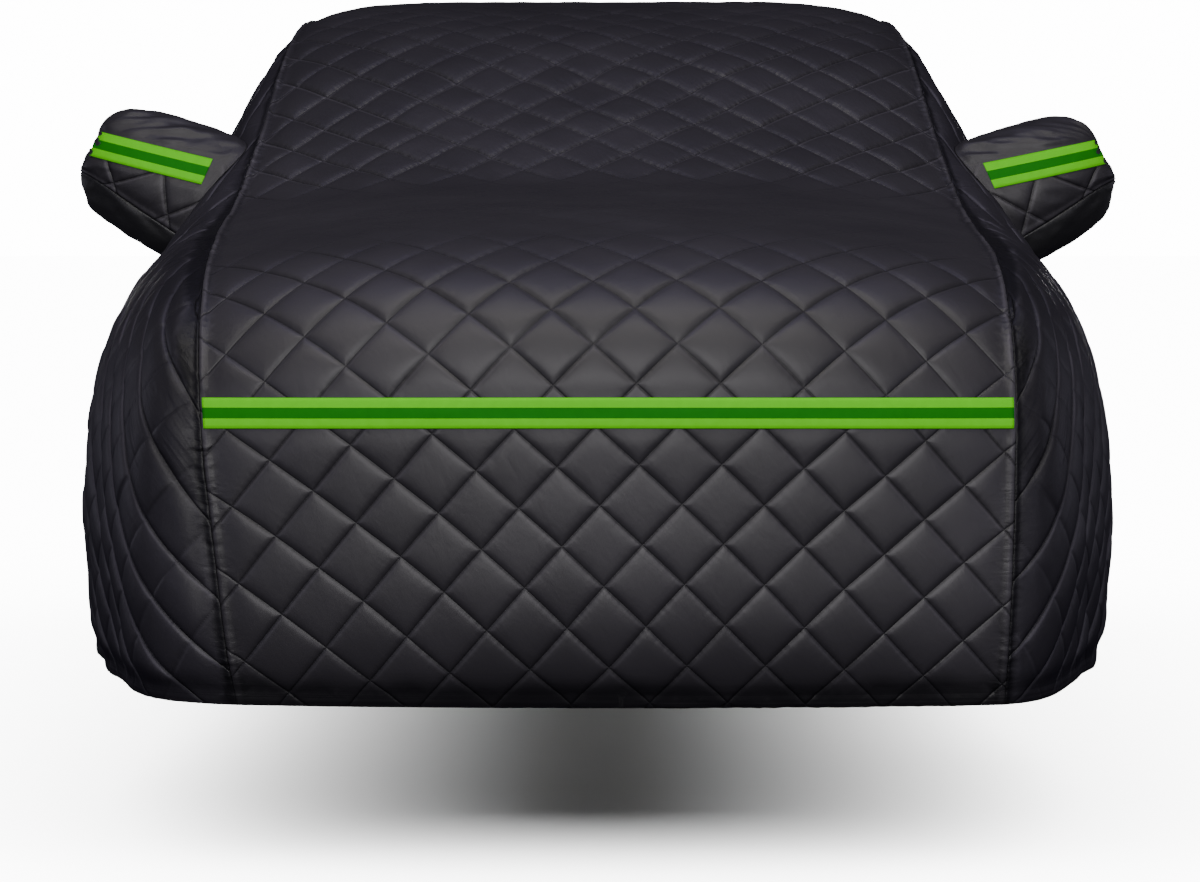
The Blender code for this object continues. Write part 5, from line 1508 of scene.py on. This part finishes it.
def tape_material(name):
    n = Nodes(name)
    a, b = n.uv("flat")
    _, across = n.uv("lattice")
    ramp = n.add("ShaderNodeValToRGB")
    ramp.color_ramp.interpolation = "CONSTANT"
    for _ in range(3):
        ramp.color_ramp.elements.new(0.5)
    for element, (at, colour) in zip(ramp.color_ramp.elements,
                                     ((0.0, tuple(0.3 * x for x in BRIGHT)), (0.015, BRIGHT), (0.325, DARK), (0.668, BRIGHT),
                                      (0.985, tuple(0.3 * x for x in BRIGHT)))):
        element.position = at
        element.color = (*colour, 1.0)
    n.link(across, ramp.inputs[0])
    tone = n.noise(n.vector(a, b), 60.0, 2.0)
    mix = n.add("ShaderNodeMix", data_type="RGBA", blend_type="MULTIPLY")
    mix.inputs[0].default_value = 0.16
    n.link(ramp.outputs[0], mix.inputs[6])
    n.link(tone, mix.inputs[7])
    n.link(mix.outputs[2], n.shader.inputs["Base Color"])
    # painted glow: the tape emits its own colour as light, standing in for its bright reflection
    n.link(mix.outputs[2], n.shader.inputs["Emission Color"])
    n.shader.inputs["Emission Strength"].default_value = TAPE_GLOW
    rib = n.math("SINE", n.math("MULTIPLY", b, 2 * math.pi / 0.0014))
    cross = n.math("SINE", n.math("MULTIPLY", a, 2 * math.pi / 0.0011))
    weave = n.math("MULTIPLY", rib, cross)
    stitch = None
    for at in (0.045, 0.955):
        d = n.math("ABSOLUTE", n.math("SUBTRACT", across, at))
        line = n.fall(n.math("POWER", n.math("DIVIDE", d, 0.014), 2.0), 1.0)
        dash = n.math("ADD", n.math("SINE", n.math("MULTIPLY", a, 2 * math.pi / 0.0036)), 0.5, clamp=True)
        line = n.math("MULTIPLY", line, dash)
        stitch = line if stitch is None else n.math("MAXIMUM", stitch, line)
    height = n.math("ADD", n.math("MULTIPLY", weave, 0.00006), n.math("MULTIPLY", stitch, -0.0003))
    n.link(n.bump(height, 1.0, 0.8).outputs[0], n.shader.inputs["Normal"])
    n.shader.inputs["Roughness"].default_value = 0.6
    n.shader.inputs["Specular IOR Level"].default_value = 0.08
    return n.material


TAPE_GLOW = 0.60


# ---------------------------------------------------------------------------
# The pieces
# ---------------------------------------------------------------------------
quilted = quilted_material("quilted_black_cloth", CENTRE_LOOK)
quilted_side = quilted_material("quilted_black_side_cloth", SIDE_LOOK, SIDE_WEAK)
quilted_pocket = quilted_material("quilted_black_pocket_cloth", dict(CENTRE_LOOK, strands=0.8, rims=0.9))
plain = plain_material("plain_black_cloth")
tape = tape_material("reflective_tape")


def dress(thing, nodes):
    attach(thing, "root")
    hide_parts(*nodes)


centre_data = centre_panel_data()
centre_cloth = build_panel("centre_cloth", centre_data, quilted, 9, 0.045)
dress(centre_cloth, ["centre_panel"])
front_tape = make_front_tape(tape, centre_data)
front_tape.visible_diffuse = front_tape.visible_glossy = False   # no green light on the cloth
dress(front_tape, ["reflective_strip_front"])

for word, sign in (("left", -1), ("right", 1)):
    cloth = build_panel("side_cloth_" + word, side_panel_data(sign), quilted_side, 11, 0.045)
    dress(cloth, ["side_panel_" + word])
    hood, gusset = make_pocket(word, sign, quilted_pocket, plain)
    dress(hood, ["mirror_pocket_" + word])
    dress(gusset, ["mirror_gusset_" + word])
    strip = make_pocket_tape(word, sign, tape)
    strip.visible_diffuse = strip.visible_glossy = False
    dress(strip, ["reflective_strip_mirror_" + word])


# ---------------------------------------------------------------------------
# Studio
# ---------------------------------------------------------------------------
def floor():
    data = bpy.data.meshes.new("studio_floor")
    size, z = 40.0, -ORIGIN[2]
    data.from_pydata([(-size, -size, z), (size, -size, z), (size, size, z), (-size, size, z)], [], [(0, 1, 2, 3)])
    material = bpy.data.materials.new("studio_floor")
    material.use_nodes = True
    shader = material.node_tree.nodes["Principled BSDF"]
    shader.inputs["Base Color"].default_value = (0.90, 0.90, 0.90, 1.0)
    shader.inputs["Roughness"].default_value = 1.0
    shader.inputs["Specular IOR Level"].default_value = 0.0
    shader.inputs["Emission Color"].default_value = (1.0, 1.0, 1.0, 1.0)
    shader.inputs["Emission Strength"].default_value = FLOOR_GLOW
    data.materials.append(material)
    thing = bpy.data.objects.new("studio_floor", data)
    bpy.context.scene.collection.objects.link(thing)
    # seen by the camera only: the cloth isn't lit from below by a bright floor
    thing.visible_diffuse = False
    thing.visible_glossy = False
    return thing


def area_light(name, place, target, size, power, size_y=None):
    data = bpy.data.lights.new(name, "AREA")
    data.shape = "RECTANGLE"
    data.size = size
    data.size_y = size_y or size
    data.energy = power
    thing = bpy.data.objects.new(name, data)
    thing.location = place
    thing.rotation_euler = (Vector(target) - Vector(place)).to_track_quat("-Z", "Y").to_euler()
    bpy.context.scene.collection.objects.link(thing)
    return thing


def world(backdrop, fill):
    """A pale backdrop that gives the cloth only a little light."""
    scene_world = bpy.data.worlds.new("studio")
    bpy.context.scene.world = scene_world
    scene_world.use_nodes = True
    tree = scene_world.node_tree
    back = tree.nodes["Background"]
    tint = tree.nodes.new("ShaderNodeMix")
    tint.data_type = "RGBA"
    tint.inputs[6].default_value = (0.62, 0.54, 1.0, 1.0)
    tint.inputs[7].default_value = (1.0, 1.0, 1.0, 1.0)
    tree.links.new(tint.outputs[2], back.inputs[0])
    rays = tree.nodes.new("ShaderNodeLightPath")
    mix = tree.nodes.new("ShaderNodeMix")
    mix.inputs[2].default_value = fill
    mix.inputs[3].default_value = backdrop
    tree.links.new(rays.outputs["Is Camera Ray"], mix.inputs[0])
    tree.links.new(rays.outputs["Is Camera Ray"], tint.inputs[0])
    tree.links.new(mix.outputs[0], back.inputs[1])


BACKDROP, FILL, FLOOR_SUN, FLOOR_GLOW = 15.0, 0.018, 48.0, 0.01
# name, place, what it points at, width, depth, power, tint
SOFT_LIGHTS = (
    ("low", (0.0, -9.5, 2.2), (0.0, -2.4, -0.6), 6.5, 3.0, 750.0, (1.0, 0.985, 0.99)),
    ("steep", (0.0, -3.6, 4.6), (0.0, -2.2, -0.5), 6.4, 1.4, 250.0, (1.0, 0.97, 0.86)),
    ("top", (0.0, -1.4, 4.0), (0.0, -1.1, 0.0), 5.0, 1.6, 37.0, (0.30, 0.23, 1.0)),
    ("left", (-5.5, -5.5, 0.3), (-0.8, -1.6, -0.9), 1.6, 1.6, 42.0, (0.76, 0.73, 1.0)),
    ("right", (5.5, -5.5, 0.3), (0.8, -1.6, -0.9), 1.6, 1.6, 33.0, (0.76, 0.73, 1.0)),
    ("rear", (0.0, 9.5, -0.3), (0.0, 1.9, -0.7), 6.5, 1.2, 380.0, (1.0, 0.985, 0.99)),
    ("rear left", (-7.0, 2.5, 0.2), (-0.9, 0.8, -0.7), 3.0, 2.0, 29.0, (0.84, 0.81, 1.0)),
    ("rear right", (7.0, 2.5, 0.2), (0.9, 0.8, -0.7), 3.0, 2.0, 25.0, (0.84, 0.81, 1.0)),
)

ground = floor()
world(BACKDROP, FILL)
# the wide lamp over the floor lights nothing else, so that the backdrop stays pale
overhead = bpy.data.lights.new("overhead", "SUN")
overhead.energy = FLOOR_SUN
overhead.angle = math.radians(149.0)
lamp = bpy.data.objects.new("overhead", overhead)
lamp.rotation_euler = (math.radians(-6.0), 0.0, 0.0)
bpy.context.scene.collection.objects.link(lamp)
only = bpy.data.collections.new("floor_only")
only.objects.link(ground)
lamp.light_linking.receiver_collection = only
cloth_only = bpy.data.collections.new("cloth_only")
for thing in bpy.context.scene.objects:
    if thing.type == "MESH" and thing != ground:
        cloth_only.objects.link(thing)
for name, place, target, wide, deep, power, tint in SOFT_LIGHTS:
    light = area_light(name, place, target, wide, power, deep)
    light.data.color = tint
    light.visible_camera = False
    light.light_linking.receiver_collection = cloth_only

camera = bpy.data.cameras.new("camera")
camera.sensor_width = 36.0
camera.lens = 4444.0 / 1200.0 * 36.0
camera.clip_end = 200.0
eye = bpy.data.objects.new("camera", camera)
eye.location = (0.004, -7.0 - ORIGIN[1], 1.148 - ORIGIN[2])
eye.rotation_euler = (math.pi / 2 - math.atan2(288.0, 4444.0), 0.0, 0.0)
bpy.context.scene.collection.objects.link(eye)
bpy.context.scene.camera = eye

bpy.context.view_layer.update()
